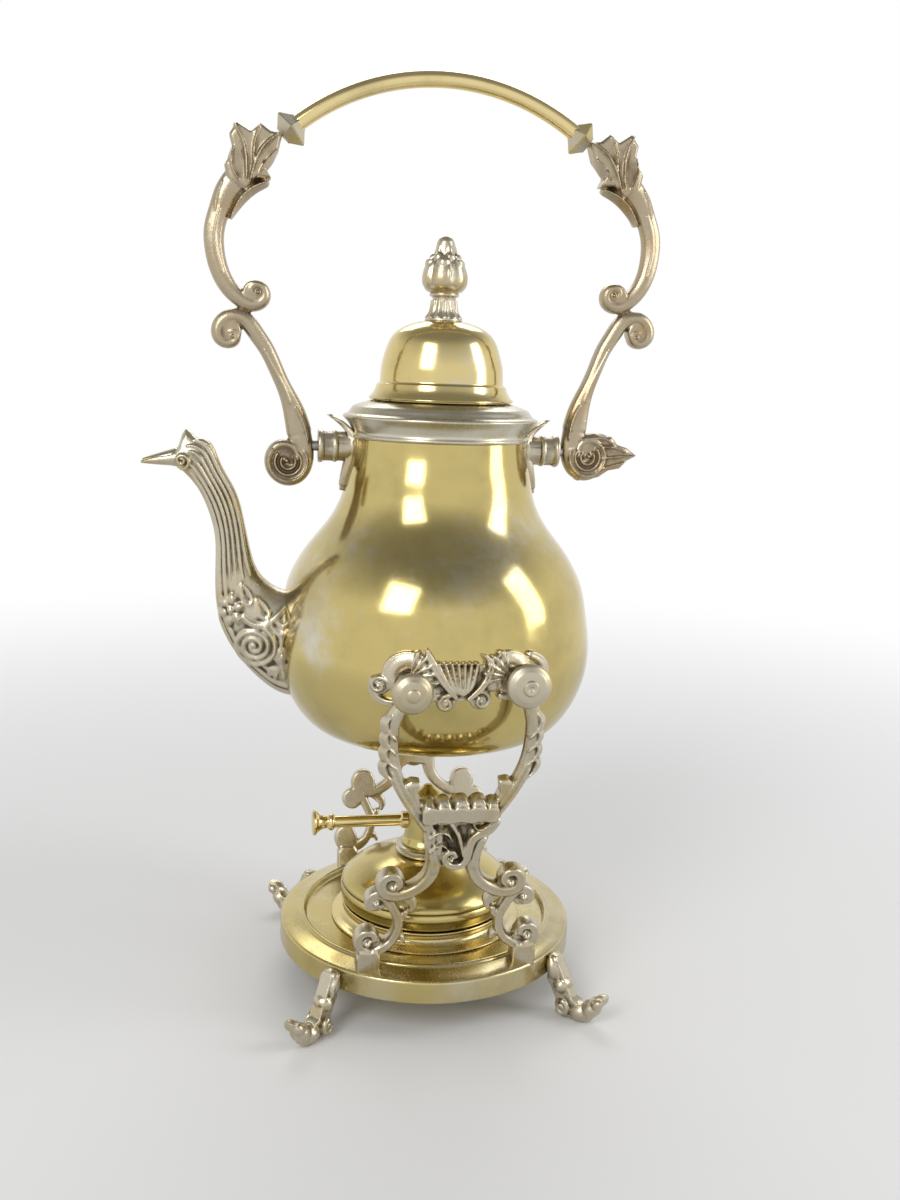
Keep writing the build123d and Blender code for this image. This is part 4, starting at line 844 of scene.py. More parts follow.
# %% Tray and burner seat
def tray_line():
    rim, low, top = rim_radius, rim_bottom, bead_top
    return np.array([
        (rim - 0.9, low + 0.1), (rim - 0.4, low), (rim, low + 0.5), (rim, low + 4.0), (rim, top - 4.1),
        (rim - 0.1, top - 3.4), (rim - 0.5, top - 2.9), (rim - 1.2, top - 2.65), (rim - 4.0, top - 2.15),
        (rim - 8.6, top - 1.3), (rim - 9.1, top - 1.1), (rim - 9.4, top - 0.6), (rim - 9.9, top - 0.15),
        (rim - 10.5, top), (rim - 11.1, top - 0.2), (rim - 11.5, top - 0.7), (rim - 11.7, top - 1.6),
        (rim - 11.8, top - 2.8), (rim - 12.2, top - 3.3), (rim - 13.0, top - 3.45),
        (rim - 24.0, top - 3.45), (0.0, top - 3.4),
    ])


tray_shell = uneven(turned(sheet_profile(tray_line(), 1.2), 256), 0.1, 16.0, 9.0)
piece("visual_base_tray", tray_shell, tray_metal, "stand", "base_tray")
seat_high = corners("burner_seat")[1]
seat_z, seat_top, seat_r = bead_top - 3.4, seat_high[2], seat_high[0]
seat_line = flowing([
    (seat_r - 0.3, seat_z + 0.1), (seat_r, seat_z + 0.7), (seat_r - 1.0, seat_z + 1.2),
    (seat_r - 4.2, seat_z + 2.0), (seat_r - 5.9, seat_z + 3.4), (seat_r - 6.2, seat_z + 5.0),
    (seat_r - 5.6, seat_z + 6.4), (seat_r - 4.9, seat_top - 0.5), (seat_r - 5.2, seat_top),
    (seat_r - 5.9, seat_top - 0.1),
], 5)
piece("visual_burner_seat", turned(sheet_profile(seat_line, 1.0), 192), seat_metal, "stand", "burner_seat")
print("tray and seat turned")

# %% [markdown]
# The burner: a bowl and a domed top that meet in a seam, a stepped neck, and the snuffer, which is
# a bell with a long turned handle.

# %% Burner
def burner_pieces():
    r, seam = tank_radius, tank_seam
    base = corners("burner_tank_bowl")[0][2]
    neck_low, neck_high = corners("burner_neck")
    bowl = flowing([
        (29.8, base), (34.4, base + 1.4), (36.0, base + 3.8), (36.9, base + 6.0), (r - 0.8, base + 7.2),
        (r, base + 9.2), (r, seam - 0.6), (r - 0.3, seam - 0.1),
    ], 6)
    bowl = np.vstack([[(0.0, base + 0.1), (24.0, base + 0.05)], bowl])
    piece("visual_burner_tank_bowl", turned(sheet_profile(bowl, 1.0), 224), tank_metal, "burner",
        "burner_tank_bowl")
    cover = flowing([
        (r - 0.4, seam + 0.1), (r - 0.3, seam + 0.9), (r - 1.9, seam + 3.6), (r - 5.4, seam + 6.6),
        (r - 11.4, seam + 9.8), (r - 19.4, seam + 12.6), (15.6, seam + 13.9), (11.0, seam + 14.2),
    ], 6)
    piece("visual_burner_tank_top", turned(sheet_profile(cover, 1.0), 224), tank_metal, "burner",
        "burner_tank_top")
    top, wide, foot = neck_high[2], neck_high[0], neck_low[2]
    neck = [
        (4.7, foot + 0.2), (wide - 0.9, foot + 0.2), (wide - 0.1, foot + 0.9), (wide, foot + 1.5),
        (wide - 0.5, foot + 2.1), (wide - 1.0, foot + 2.4), (wide - 1.0, foot + 2.9),
        (wide - 0.5, foot + 3.1), (wide - 0.4, foot + 3.6), (wide - 0.9, foot + 3.9),
        (wide - 1.8, foot + 4.2), (8.6, top - 5.0), (8.2, top - 4.6), (8.2, top - 0.6),
        (7.7, top), (4.7, top),
    ]
    piece("visual_burner_neck", turned(neck, 160), collar_metal, "burner", "burner_neck")


def snuffer_pieces():
    r, low, top = cap_high[0], cap_low[2], cap_high[2]
    bell = flowing([
        (r - 0.4, low), (r, low + 0.6), (r - 0.2, low + 1.6), (r - 1.0, low + 3.2), (r - 1.4, low + 6.0),
        (r - 1.8, low + 11.0), (r - 2.6, low + 16.8), (r - 3.8, low + 21.0), (r - 6.2, low + 24.8),
        (r - 8.8, low + 26.8), (1.6, top - 0.2), (0.0, top),
    ], 6)
    piece("visual_snuffer_cap", turned(sheet_profile(bell, 1.0), 160), tank_metal, "snuffer", "snuffer_cap")
    low_h, high_h = corners("snuffer_handle")
    end, axis_z, flare = -low_h[0], (low_h[2] + high_h[2]) / 2, (high_h[2] - low_h[2]) / 2
    rod = flare - 3.3
    handle = [
        (0.0, 9.2), (rod + 1.2, 9.4), (rod + 1.2, 11.9), (rod + 0.2, 12.6), (rod, 13.4),
        (rod, end - 10.6), (rod + 0.6, end - 10.2), (rod + 1.2, end - 9.4), (rod + 1.2, end - 8.4),
        (rod + 0.6, end - 7.6), (rod + 0.1, end - 6.9), (rod + 0.2, end - 5.8), (rod + 0.9, end - 3.9),
        (rod + 2.1, end - 2.4), (flare - 0.2, end - 1.7), (flare, end - 1.1), (flare - 0.3, end - 0.5),
        (flare - 1.6, end - 0.1), (0.0, end),
    ]
    swing = Matrix.Translation((0, 0, axis_z)) @ Matrix.Rotation(math.radians(-90), 4, "Y")
    piece("visual_snuffer_handle", placed(turned(handle, 64), swing), bright_metal, "snuffer",
        "snuffer_handle")


burner_pieces()
snuffer_pieces()
print("burner turned, tank", round(2 * tank_radius, 1), "mm across")

# %% [markdown]
# ## Cast yokes
# Two cast yokes carry the kettle. Each is drawn flat: a leg with a C-scroll, a stem in an S-curve, a
# fluted shell in the middle and two leafy arms that end in eyes. The sheet leans outwards, so the
# arms clear the belly. Only the right half is drawn; the left half is its mirror image.

# %% The yoke's leaning sheet
deck_height = bead_top - 2.6
yoke_stance = 51.5
eye_inner = 72.4
lean = math.atan((eye_inner + 4.1 - yoke_stance) / (pivot_z - deck_height))
yoke_x = 1.2


def on_yoke(u, v, w):
    """From the yoke's sheet to space: v climbs outwards, w points away from the kettle."""
    y = -(yoke_stance + v * math.sin(lean) + w * math.cos(lean))
    z = deck_height + v * math.cos(lean) - w * math.sin(lean)
    return np.column_stack([u + yoke_x, y, z])


def sheet_v(z):
    return (z - deck_height) / math.cos(lean)


print("yoke leans", round(math.degrees(lean), 1), "degrees")

# %% [markdown]
# The leg, from the deck up: a square post, an open C-scroll whose two ends curl inwards, and an
# S-curved stem that rolls up into a volute beside it. Two upright folds cover the post.

# %% Leg of the yoke
leg_scroll = [
    (30.6, 9.0, 2.2), (26.2, 11.6, 2.2), (23.0, 16.0, 2.2), (21.6, 20.8, 2.2), (22.0, 26.0, 2.2),
    (24.0, 30.6, 2.3), (26.6, 35.4, 2.3), (31.0, 38.0, 2.2), (34.4, 35.2, 2.0), (33.2, 31.8, 1.7),
    (30.8, 32.6, 1.3),
]
leg_curl = [
    (25.6, 12.8, 2.2), (29.4, 10.0, 2.5), (33.6, 9.2, 2.5), (37.4, 11.8, 2.3), (38.0, 16.0, 2.2),
    (35.4, 19.2, 2.0), (32.0, 18.4, 1.8), (31.4, 15.4, 1.4),
]
stem_roll = [
    (8.6, 66.0, 4.2), (8.2, 58.0, 3.7), (8.2, 51.5, 3.3), (9.8, 46.0, 3.0), (13.2, 41.8, 2.9),
    (18.0, 38.8, 2.9), (23.6, 37.6, 2.8), (28.2, 39.4, 2.6), (29.4, 43.6, 2.4), (26.8, 47.2, 2.2),
    (23.0, 46.4, 2.0), (22.0, 43.0, 1.7), (24.0, 41.0, 1.3),
]


def leg_shells(place):
    shells = [
        band(leg_scroll, place, 3.4, 3.2, section_soft), band(leg_curl, place, 4.2, 3.2, section_soft),
        band(stem_roll, place, 4.4, 3.2, section_soft),
        disc(25.0, 43.0, 5.4, place, 2.2, 3.2), disc(31.2, 34.2, 4.8, place, 1.9, 3.2),
        disc(34.2, 14.4, 5.4, place, 2.4, 3.2),
        slab([(28.6, -1.2), (38.8, -1.2), (38.8, 7.6), (36.8, 10.4), (30.6, 10.4), (28.6, 7.6)], place,
            4.3, 4.3, 0.8),
    ]
    for u, v, radius, front in ((34.4, 14.6, 2.2, 5.4), (31.4, 34.4, 1.9, 4.6), (24.9, 42.6, 2.3, 5.6)):
        shells.append(bead(u, v, radius, place, front, 3.0))
    for u in (31.0, 36.4):
        shells.append(band([(u, 10.0, 1.5), (u + 0.4, 5.0, 1.7), (u, -0.6, 1.5)], place, 5.2, 1.0,
            section_soft))
    leaf = [(20.6, 36.8, 2.4), (17.4, 34.4, 2.4), (15.8, 31.4, 1.8), (16.4, 28.8, 1.0)]
    shells.append(band(leaf, place, 2.4, 2.6, section_soft))
    shells.append(band([(21.8, 24.0, 1.8), (19.4, 26.2, 1.7), (18.8, 28.4, 1.1)], place, 2.4, 2.6,
        section_soft))
    shells.append(band([(22.6, 15.8, 1.8), (20.0, 15.2, 1.6), (18.8, 13.2, 1.0)], place, 2.4, 2.6,
        section_soft))
    return shells


print("leg drawn with", len(leg_shells(on_yoke)), "bands")

# %% [markdown]
# The arm: a long smooth curve with two ribs low down, small leaves over its outer edge higher up, a
# blunt inner leaf at its root, and an eye at the end. The spout-side eye is closed, the far eye is open
# at the top so that the kettle can tip up out of it.

# %% Arm of the yoke
def arm_shells(place, end_u, end_v):
    shift = end_v - 133.0
    arm = [
        (12.6, 70.4, 2.6), (16.0, 76.0, 2.9), (20.4, 82.8, 2.8), (24.4, 90.4, 2.8), (27.2, 97.6, 3.1),
        (28.6, 104.6, 3.3), (28.9, 111.0, 3.4), (28.4, 117.4 + 0.3 * shift, 3.3),
        (26.6, 123.4 + 0.7 * shift, 3.1), (end_u + 0.9, end_v - 3.8, 2.6),
    ]
    shells = [band(arm, place, 3.5, 3.2, section_round)]
    for side, lift in ((-1.6, 3.7), (0.9, 4.2)):
        rib = [(u + side * 0.8, v - side * 0.55, 0.75) for u, v, _ in arm[:5]]
        shells.append(band(rib, place, lift, 2.0, section_round))
    for v in (98.0, 104.4, 110.8, 117.0):
        leaflet = [(26.6, v - 5.4, 1.0), (29.6, v - 2.4, 2.6), (30.8, v + 1.4, 2.3), (29.4, v + 4.6, 0.8)]
        shells.append(band(leaflet, place, 4.3, 2.0, section_ridge))
    root = [(12.4, 75.0), (18.4, 78.4), (22.6, 84.6), (22.4, 90.6), (19.6, 92.3), (16.0, 91.6),
        (16.8, 86.4), (15.2, 81.6)]
    shells.append(slab(root, place, 3.0, 2.8, 0.9))
    shells.append(band([(14.6, 79.0, 1.6), (18.4, 84.4, 2.0), (19.4, 90.2, 1.3)], place, 4.0, 1.0,
        section_soft))
    return shells


def eye_shells(x, z, open_top):
    """A ring along Y round the knob's shank. The open one is a U with rounded tips."""
    half = 3.5
    if open_top:
        turns = np.radians(np.linspace(-218, 38, 40))
    else:
        turns = np.radians(np.linspace(-180, 180, 49))
    path = np.column_stack([x + 4.75 * np.cos(turns), z + 4.75 * np.sin(turns)])
    shells = []

    def across(u, v, w):
        return np.column_stack([u, -(eye_inner + half) - w, v])

    rows = [(*p, 1.45) for p in path]
    shells.append(band(rows, across, half, half, section_flat, across=11, bend=0))
    return shells


def yoke_shells():
    half = leg_shells(on_yoke) + arm_shells(on_yoke, rest_x - yoke_x, sheet_v(rest_z))
    other = flipped(on_yoke)
    half += leg_shells(other) + arm_shells(other, yoke_x - pivot_x, sheet_v(pivot_z))
    return half + eye_shells(pivot_x, pivot_z, False) + eye_shells(rest_x, rest_z, True)


print("yoke drawn with", len(yoke_shells()), "bands")

# %% [markdown]
# The shell: a ledge of broad pleats, like the hem of a curtain, and under it deep folds. The right
# fold sweeps down into a volute that closes the casting, the left one carries two leaves.

# %% Shell of the yoke
def shell_shells(place):
    ground = [
        (-14.6, 79.8), (16.4, 79.8), (15.6, 73.0), (12.8, 66.0), (10.6, 58.0), (8.4, 50.6), (4.0, 51.4),
        (-2.0, 52.0), (-6.8, 49.4), (-9.4, 57.0), (-11.2, 66.0), (-13.6, 73.0),
    ]
    shells = [slab(ground, place, 1.5, 3.2, 0.8)]
    ledge = [
        (-14.6, 74.2), (-12.0, 73.4), (-8.4, 74.6), (-3.6, 74.0), (0.6, 74.8), (5.2, 74.0), (9.4, 74.8),
        (15.4, 74.0), (16.8, 79.8), (14.4, 81.4), (11.4, 80.9), (8.0, 82.0), (4.6, 81.0), (1.2, 81.8),
        (-2.2, 80.9), (-6.0, 82.2), (-9.0, 81.3), (-12.2, 82.2), (-15.0, 80.0),
    ]
    shells.append(slab(ledge, place, 6.5, 3.4, 0.7))
    for x, half in ((-12.2, 2.9), (-6.0, 3.7), (1.2, 4.1), (8.2, 4.1), (14.0, 2.9)):
        pleat = [(x, 75.2, half, 0.94), (x, 77.8, half, 1.0), (x, 80.8, half, 0.98)]
        shells.append(band(pleat, place, 7.5, 2.0, section_soft))
    s_fold = [
        (16.2, 73.4, 2.2), (12.6, 68.8, 2.4), (8.2, 66.6, 2.3), (5.9, 62.4, 2.2), (5.2, 57.2, 2.1),
        (3.0, 52.9, 1.9), (-0.6, 52.4, 1.8), (-4.0, 54.8, 1.6), (-3.9, 58.2, 1.4), (-1.0, 59.2, 1.2),
        (0.6, 56.9, 0.9),
    ]
    shells.append(band(s_fold, place, 6.2, 2.4, section_soft))
    shells.append(bead(-1.6, 56.2, 1.5, place, 6.6, 2.0))
    middle = [(-4.4, 75.0, 1.2), (-0.8, 70.2, 1.5), (2.0, 63.4, 1.4), (3.2, 57.6, 1.0)]
    shells.append(band(middle, place, 5.2, 2.0, section_round))
    left = [(-13.0, 74.6, 2.0), (-10.8, 69.4, 2.2), (-10.2, 62.0, 2.2), (-8.8, 55.4, 2.1), (-7.6, 49.6, 1.8)]
    shells.append(band(left, place, 5.0, 2.4, section_soft))
    for leaf in (
        [(-11.0, 66.6, 1.4), (-7.6, 69.2, 2.1), (-3.8, 68.4, 2.0), (-1.8, 64.8, 0.9)],
        [(-10.6, 59.6, 1.3), (-8.0, 62.8, 1.9), (-5.0, 62.9, 1.5), (-3.2, 60.8, 0.7)],
        [(6.6, 72.4, 0.9), (8.8, 70.0, 1.5), (12.2, 71.6, 1.4), (14.6, 75.0, 0.9)],
    ):
        shells.append(band(leaf, place, 6.0, 1.0, section_ridge))
    shells.append(band([(11.6, 64.0, 1.8), (9.4, 57.6, 2.0), (8.0, 51.4, 1.8)], place, 4.8, 2.4,
        section_soft))
    return shells


def mirrored(shells):
    return [(points * (1, -1, 1), faces) for points, faces in shells]


def yoke_cuts():
    """Bores through the eyes."""
    along_y = Matrix.Rotation(math.radians(90), 4, "X")
    cuts = []
    for x, z in ((pivot_x, pivot_z), (rest_x, rest_z)):
        drill = turned([(0.0, -20.0), (3.2, -20.0), (3.2, 20.0), (0.0, 20.0)], 48, closed=False)
        cuts.append(placed(drill, Matrix.Translation((x, -eye_inner - 3.5, z)) @ along_y))
    return cuts


front = yoke_shells() + shell_shells(on_yoke)
cast("visual_yoke_front", front, cast_silver, "stand", "yoke_front", cut=yoke_cuts())
cast("visual_yoke_rear", mirrored(front), cast_silver, "stand", "yoke_rear", cut=mirrored(yoke_cuts()))

# %% [markdown]
# ## Brackets on the belly
# The bracket is a cast strip that follows the belly. Its sheet is (x, z) as seen from the front,
# and `on_belly` wraps it round the spun body: w lifts straight off the metal.

# %% The belly's sheet
line_z, line_r = body_line[:, 1], body_line[:, 0]


def on_belly(u, v, w):
    r = np.interp(v, line_z, line_r)
    slope = (np.interp(v + 0.5, line_z, line_r) - np.interp(v - 0.5, line_z, line_r)) / 1.0
    y = np.sqrt(np.maximum(r**2 - u**2, 1.0))
    tilt = np.sqrt(1 + slope**2)
    return np.column_stack([
        u + w * u / r / tilt, -(y + w * y / r / tilt), v - w * slope / tilt,
    ])


print("belly under the bracket:", round(float(np.interp(pivot_z, line_z, line_r)), 1), "mm")

# %% [markdown]
# Two smooth rolled hoods flank a ribbed drape that hangs between two folds. A bud closes the spout
# side, and two small rosettes hang below, so that the strip reads as one piece of cast lace.

# %% Brackets
def hood_shells(centre, inner_side, place):
    """A smooth rolled hood over a knob, with a few flutes on the side of the drape."""
    x, z = centre
    shells = []
    turns = np.radians(np.linspace(-14, 196, 22))
    arc = [(x + 6.6 * math.cos(a), z + 6.6 * math.sin(a), 4.1) for a in turns]
    shells.append(band(arc, place, 3.3, 1.2, section_round, bend=0))
    rim = [(x + 9.8 * math.cos(a), z + 9.8 * math.sin(a), 0.9) for a in turns]
    shells.append(band(rim, place, 2.7, 1.2, section_round, bend=0))
    shells.append(disc(x, z, 6.4, place, 1.9, 1.2))
    for turn in (-8, 12, 32, 52, 72):
        a = math.radians(turn if inner_side > 0 else 180 - turn)
        c, s = math.cos(a), math.sin(a)
        flute = [(x + 2.6 * c, z + 2.6 * s, 0.6, 0.7), (x + 6.4 * c, z + 6.4 * s, 1.1, 0.95),
                 (x + 10.2 * c, z + 10.2 * s, 1.3, 1.0)]
        shells.append(band(flute, place, 4.0, 1.0, section_round))
    return shells


def bracket_shells(place):
    left, right = (pivot_x + 0.8, pivot_z + 3.0), (rest_x - 6.0, rest_z + 0.6)
    shells = hood_shells(left, 1, place) + hood_shells(right, -1, place)
    for i in range(7):
        x = -8.5 + 2.45 * i
        shells.append(bead(x, 165.6, 1.15, place, 3.9, 1.0))
        flute = [(x, 165.0, 1.0), (0.8 * x + 0.3, 160.4, 1.2), (0.5 * x + 0.7, 156.2, 0.9), (1.0, 153.6, 0.6)]
        shells.append(band(flute, place, 3.6, 1.0, section_round))
    for fold in (
        [(-13.2, 171.0, 0.7), (-11.8, 167.4, 1.7), (-8.6, 161.4, 1.8), (-4.6, 156.0, 1.4),
        (-1.6, 152.6, 1.0)],
        [(9.0, 168.8, 0.7), (11.4, 165.8, 1.6), (10.4, 160.0, 1.8), (6.4, 154.8, 1.4), (3.0, 152.0, 1.0)],
    ):
        shells.append(band(fold, place, 4.4, 1.0, section_soft))
    ground = [(-14.0, 164.6), (12.0, 165.0), (13.4, 158.0), (9.6, 151.6), (1.4, 150.6), (-6.4, 151.0),
        (-13.0, 156.0)]
    shells.append(slab(ground, place, 1.6, 1.2, 0.5))
    for u, v, radius in ((-5.4, 150.2, 4.4), (8.4, 151.2, 4.8)):
        shells.append(disc(u, v, radius - 0.4, place, 1.8, 1.0))
        swirl = winding((u, v), 70 if u < 0 else 110, 1.5 if u < 0 else -1.5, radius - 1.0, 1.0, 1.25, 0.8)
        shells.append(band(swirl, place, 3.6, 1.0, section_round))
        shells.append(bead(u, v, 1.4, place, 4.0, 1.0))
    shells.append(disc(-30.6, 156.0, 4.0, place, 2.0, 1.2))
    shells.append(band(winding((-30.6, 156.0), 30, 1.3, 3.6, 1.1, 1.3, 0.8), place, 3.5, 1.0, section_round))
    shells.append(bead(-30.6, 156.0, 1.3, place, 3.8, 1.0))
    shells.append(band([(-33.2, 158.2, 1.2), (-33.6, 154.0, 1.5), (-31.4, 150.6, 1.6), (-27.6, 149.0, 1.6),
                        (-22.0, 149.6, 1.4)], place, 3.0, 1.0, section_soft))
    shells.append(band([(-22.0, 150.2, 1.8), (-15.0, 151.4, 2.2), (-9.0, 152.6, 1.8)], place, 2.6, 1.0,
        section_soft))
    hook = [(rest_x + 4.0, rest_z + 8.4, 1.8), (rest_x + 8.6, rest_z + 5.4, 2.0),
        (rest_x + 10.2, rest_z - 0.4, 1.9),
            (rest_x + 7.4, rest_z - 6.2, 1.7), (rest_x, rest_z - 8.2, 1.5), (rest_x - 9.0, rest_z - 7.0, 1.4)]
    shells.append(band(hook, place, 3.0, 1.0, section_soft))
    for x, z in ((pivot_x, pivot_z), (rest_x, rest_z)):
        shells.append(bead(x, z, 7.0, place, 2.4, 1.2))
    return shells


def boss_shells():
    """Round posts that take the knob screws. They end just short of the yokes' eyes."""
    shells = []
    to_front = Matrix.Rotation(math.radians(90), 4, "X")
    for x, z in ((pivot_x, pivot_z), (rest_x, rest_z)):
        post = [(0.0, 60.0), (5.3, 60.0), (5.3, eye_inner - 1.0), (4.9, eye_inner - 0.35),
            (0.0, eye_inner - 0.35)]
        shells.append(placed(turned(post, 40, closed=False), Matrix.Translation((x, 0, z)) @ to_front))
    return shells


lace = bracket_shells(on_belly) + boss_shells()
cast("visual_bracket_front", lace, cast_silver, "kettle", "bracket_front", voxel=0.36)
cast("visual_bracket_rear", mirrored(lace), cast_silver, "kettle", "bracket_rear", voxel=0.36)

# %% [markdown]
# The knobs are turned. On the spout side they are domed with a bright nub, on the far side they are
# stepped with a small dimple.

# %% Knob screws
def knob_shell(x, z, radius, steps):
    start = eye_inner + 7.3
    head = flowing(steps, 5)
    head = [(radius * r, start + h) for r, h in head]
    shank = [(0.0, eye_inner - 4.2), (2.3, eye_inner - 4.2), (2.3, eye_inner - 0.3), (2.75, eye_inner - 0.3),
             (2.75, start), (radius - 0.7, start)]
    turn = Matrix.Translation((x, 0, z)) @ Matrix.Rotation(math.radians(90), 4, "X")
    return placed(turned(shank + head + [(0.0, head[-1][1])], 64, closed=False), turn)


domed = [(0.93, 0.05), (1.0, 0.7), (0.98, 1.5), (0.88, 2.7), (0.7, 3.6), (0.5, 4.1), (0.36, 4.2),
         (0.33, 4.6), (0.28, 5.1), (0.16, 5.4), (0.01, 5.5)]
stepped = [(0.93, 0.05), (1.0, 0.7), (0.99, 1.5), (0.9, 2.6), (0.74, 3.4), (0.54, 3.9), (0.41, 4.0),
           (0.36, 4.5), (0.33, 5.1), (0.26, 5.4), (0.17, 5.3), (0.1, 4.7), (0.01, 4.4)]
knob_radius = {"pivot": 8.2, "rest": 9.0}
for side in ("front", "rear"):
    for kind, x, z, steps in (("pivot", pivot_x, pivot_z, domed), ("rest", rest_x, rest_z, stepped)):
        shell = knob_shell(x, z, knob_radius[kind], steps)
        shell = shell if side == "front" else mirrored([shell])[0]
        piece(f"visual_{kind}_knob_{side}", shell, knob_metal, "kettle", f"{kind}_knob_{side}")
print("four knob screws turned")

# %% [markdown]
# ## Spout
# The spout is one skin wrapped round a bent centre line and closed by a bird's open beak. Its relief
# is drawn with strokes on the side view, (x, z): wherever a stroke passes, the skin rises. The same
# strokes serve both sides, since a caster would use one pattern twice.

# %% Spout: centre line
spout_base = pivot_z + 6.2
stations = [
    (-58.0, -5.7, 25.0, 15.6, 180.0), (-66.5, -4.4, 23.6, 14.6, 175.0), (-76.7, 2.0, 20.4, 12.8, 166.0),
    (-86.0, 14.6, 15.9, 10.6, 150.0), (-89.2, 30.3, 11.0, 8.8, 133.0), (-90.4, 45.2, 8.0, 7.6, 121.0),
    (-94.2, 59.3, 7.7, 7.0, 122.5), (-99.8, 69.8, 8.0, 6.8, 134.0), (-106.8, 77.6, 8.6, 6.4, 150.0),
    (-112.8, 75.8, 4.6, 5.2, 175.0), (-119.0, 74.9, 3.2, 4.2, 177.0), (-127.0, 73.6, 1.3, 2.0, 184.0),
]
stations = [(x, spout_base + up, high, wide, angle) for x, up, high, wide, angle in stations]


def spout_skin(inset, along=26, around=150, first=0, last=None):
    """Grid of points round the centre line, their outward directions and the side view's x and z."""
    rows = flowing(stations[first:last], along)
    turn = np.radians(rows[:, 4] - 90)
    rise = np.column_stack([np.cos(turn), np.sin(turn)])
    a = np.linspace(0, 2 * math.pi, around, endpoint=False)
    high = np.maximum(rows[:, 2] - inset, 0.3)[:, None]
    wide = np.maximum(rows[:, 3] - inset, 0.3)[:, None]
    x = rows[:, 0, None] + rise[:, 0, None] * high * np.sin(a)
    z = rows[:, 1, None] + rise[:, 1, None] * high * np.sin(a)
    y = wide * np.cos(a) * np.ones_like(x)
    out = np.stack([rise[:, 0, None] * np.sin(a) / high, np.cos(a) / wide,
        rise[:, 1, None] * np.sin(a) / high], -1)
    out /= np.linalg.norm(out, axis=-1)[..., None]
    return np.stack([x, y, z], -1), out


def grid_shell(grid):
    rows, count = grid.shape[:2]
    faces = []
    for i in range(rows - 1):
        for j in range(count):
            k = (j + 1) % count
            faces.append([i * count + j, i * count + k, (i + 1) * count + k, (i + 1) * count + j])
    faces.append(list(range(count))[::-1])
    faces.append([(rows - 1) * count + j for j in range(count)])
    return grid.reshape(-1, 3), faces


skin, skin_out = spout_skin(0.0)
print("spout skin:", skin.shape[0], "by", skin.shape[1], "points")

# %% [markdown]
# The strokes: a large spiral on the root, a six-petalled flower above it, long ridges that run up
# the neck to the beak, a volute behind the beak, teardrop loops, and small curls along the bottom.

# %% Spout: relief strokes
def stroke(points, half, height, per_span=8):
    """A raised line on the side view: its points, half width and height, both tapering if given."""
    rows = [(*p[:2], p[2] if len(p) > 2 else half) for p in points]
    line = flowing(rows, per_span)
    return line, height


def spiral_stroke(centre, start, turns, outer, inner, half, height):
    rows = winding(centre, start, turns, outer, inner, half, 0.6 * half, 26)
    return np.array(rows), height


def coil_stroke(centre, start, turns, outer, inner, half, height):
    """A spiral whose turns lie at even distances."""
    rows = []
    for t in np.linspace(0, 1, int(abs(turns) * 26)):
        a = math.radians(start + 360 * turns * t)
        radius = outer + (inner - outer) * t
        rows.append((centre[0] + radius * math.cos(a), centre[1] + radius * math.sin(a),
            half * (1 - 0.25 * t)))
    return np.array(rows), height


def long_ridges():
    """Ridges that follow the spout's centre line at fixed shares of its height."""
    rows = flowing(stations, 8)
    turn = np.radians(rows[:, 4] - 90)
    lines = []
    for share, first, last, half, height in (
        (0.74, 26, 66, 0.75, 0.8), (0.44, 27, 68, 0.75, 0.9), (0.14, 28, 66, 0.75, 0.9),
        (-0.16, 28, 64, 0.75, 0.9), (-0.46, 22, 62, 0.75, 0.9), (-0.74, 12, 60, 0.8, 0.9),
        (-0.9, 6, 58, 0.6, 0.7), (-0.6, 8, 20, 0.7, 0.8), (0.92, 24, 62, 0.6, 0.6),
    ):
        part = rows[first:last]
        x = part[:, 0] + np.cos(turn[first:last]) * part[:, 2] * share
        z = part[:, 1] + np.sin(turn[first:last]) * part[:, 2] * share
        taper = half * np.clip(np.minimum(np.arange(len(x)), np.arange(len(x))[::-1]) / 5, 0.3, 1)
        lines.append((np.column_stack([x, z, taper]), height))
    return lines


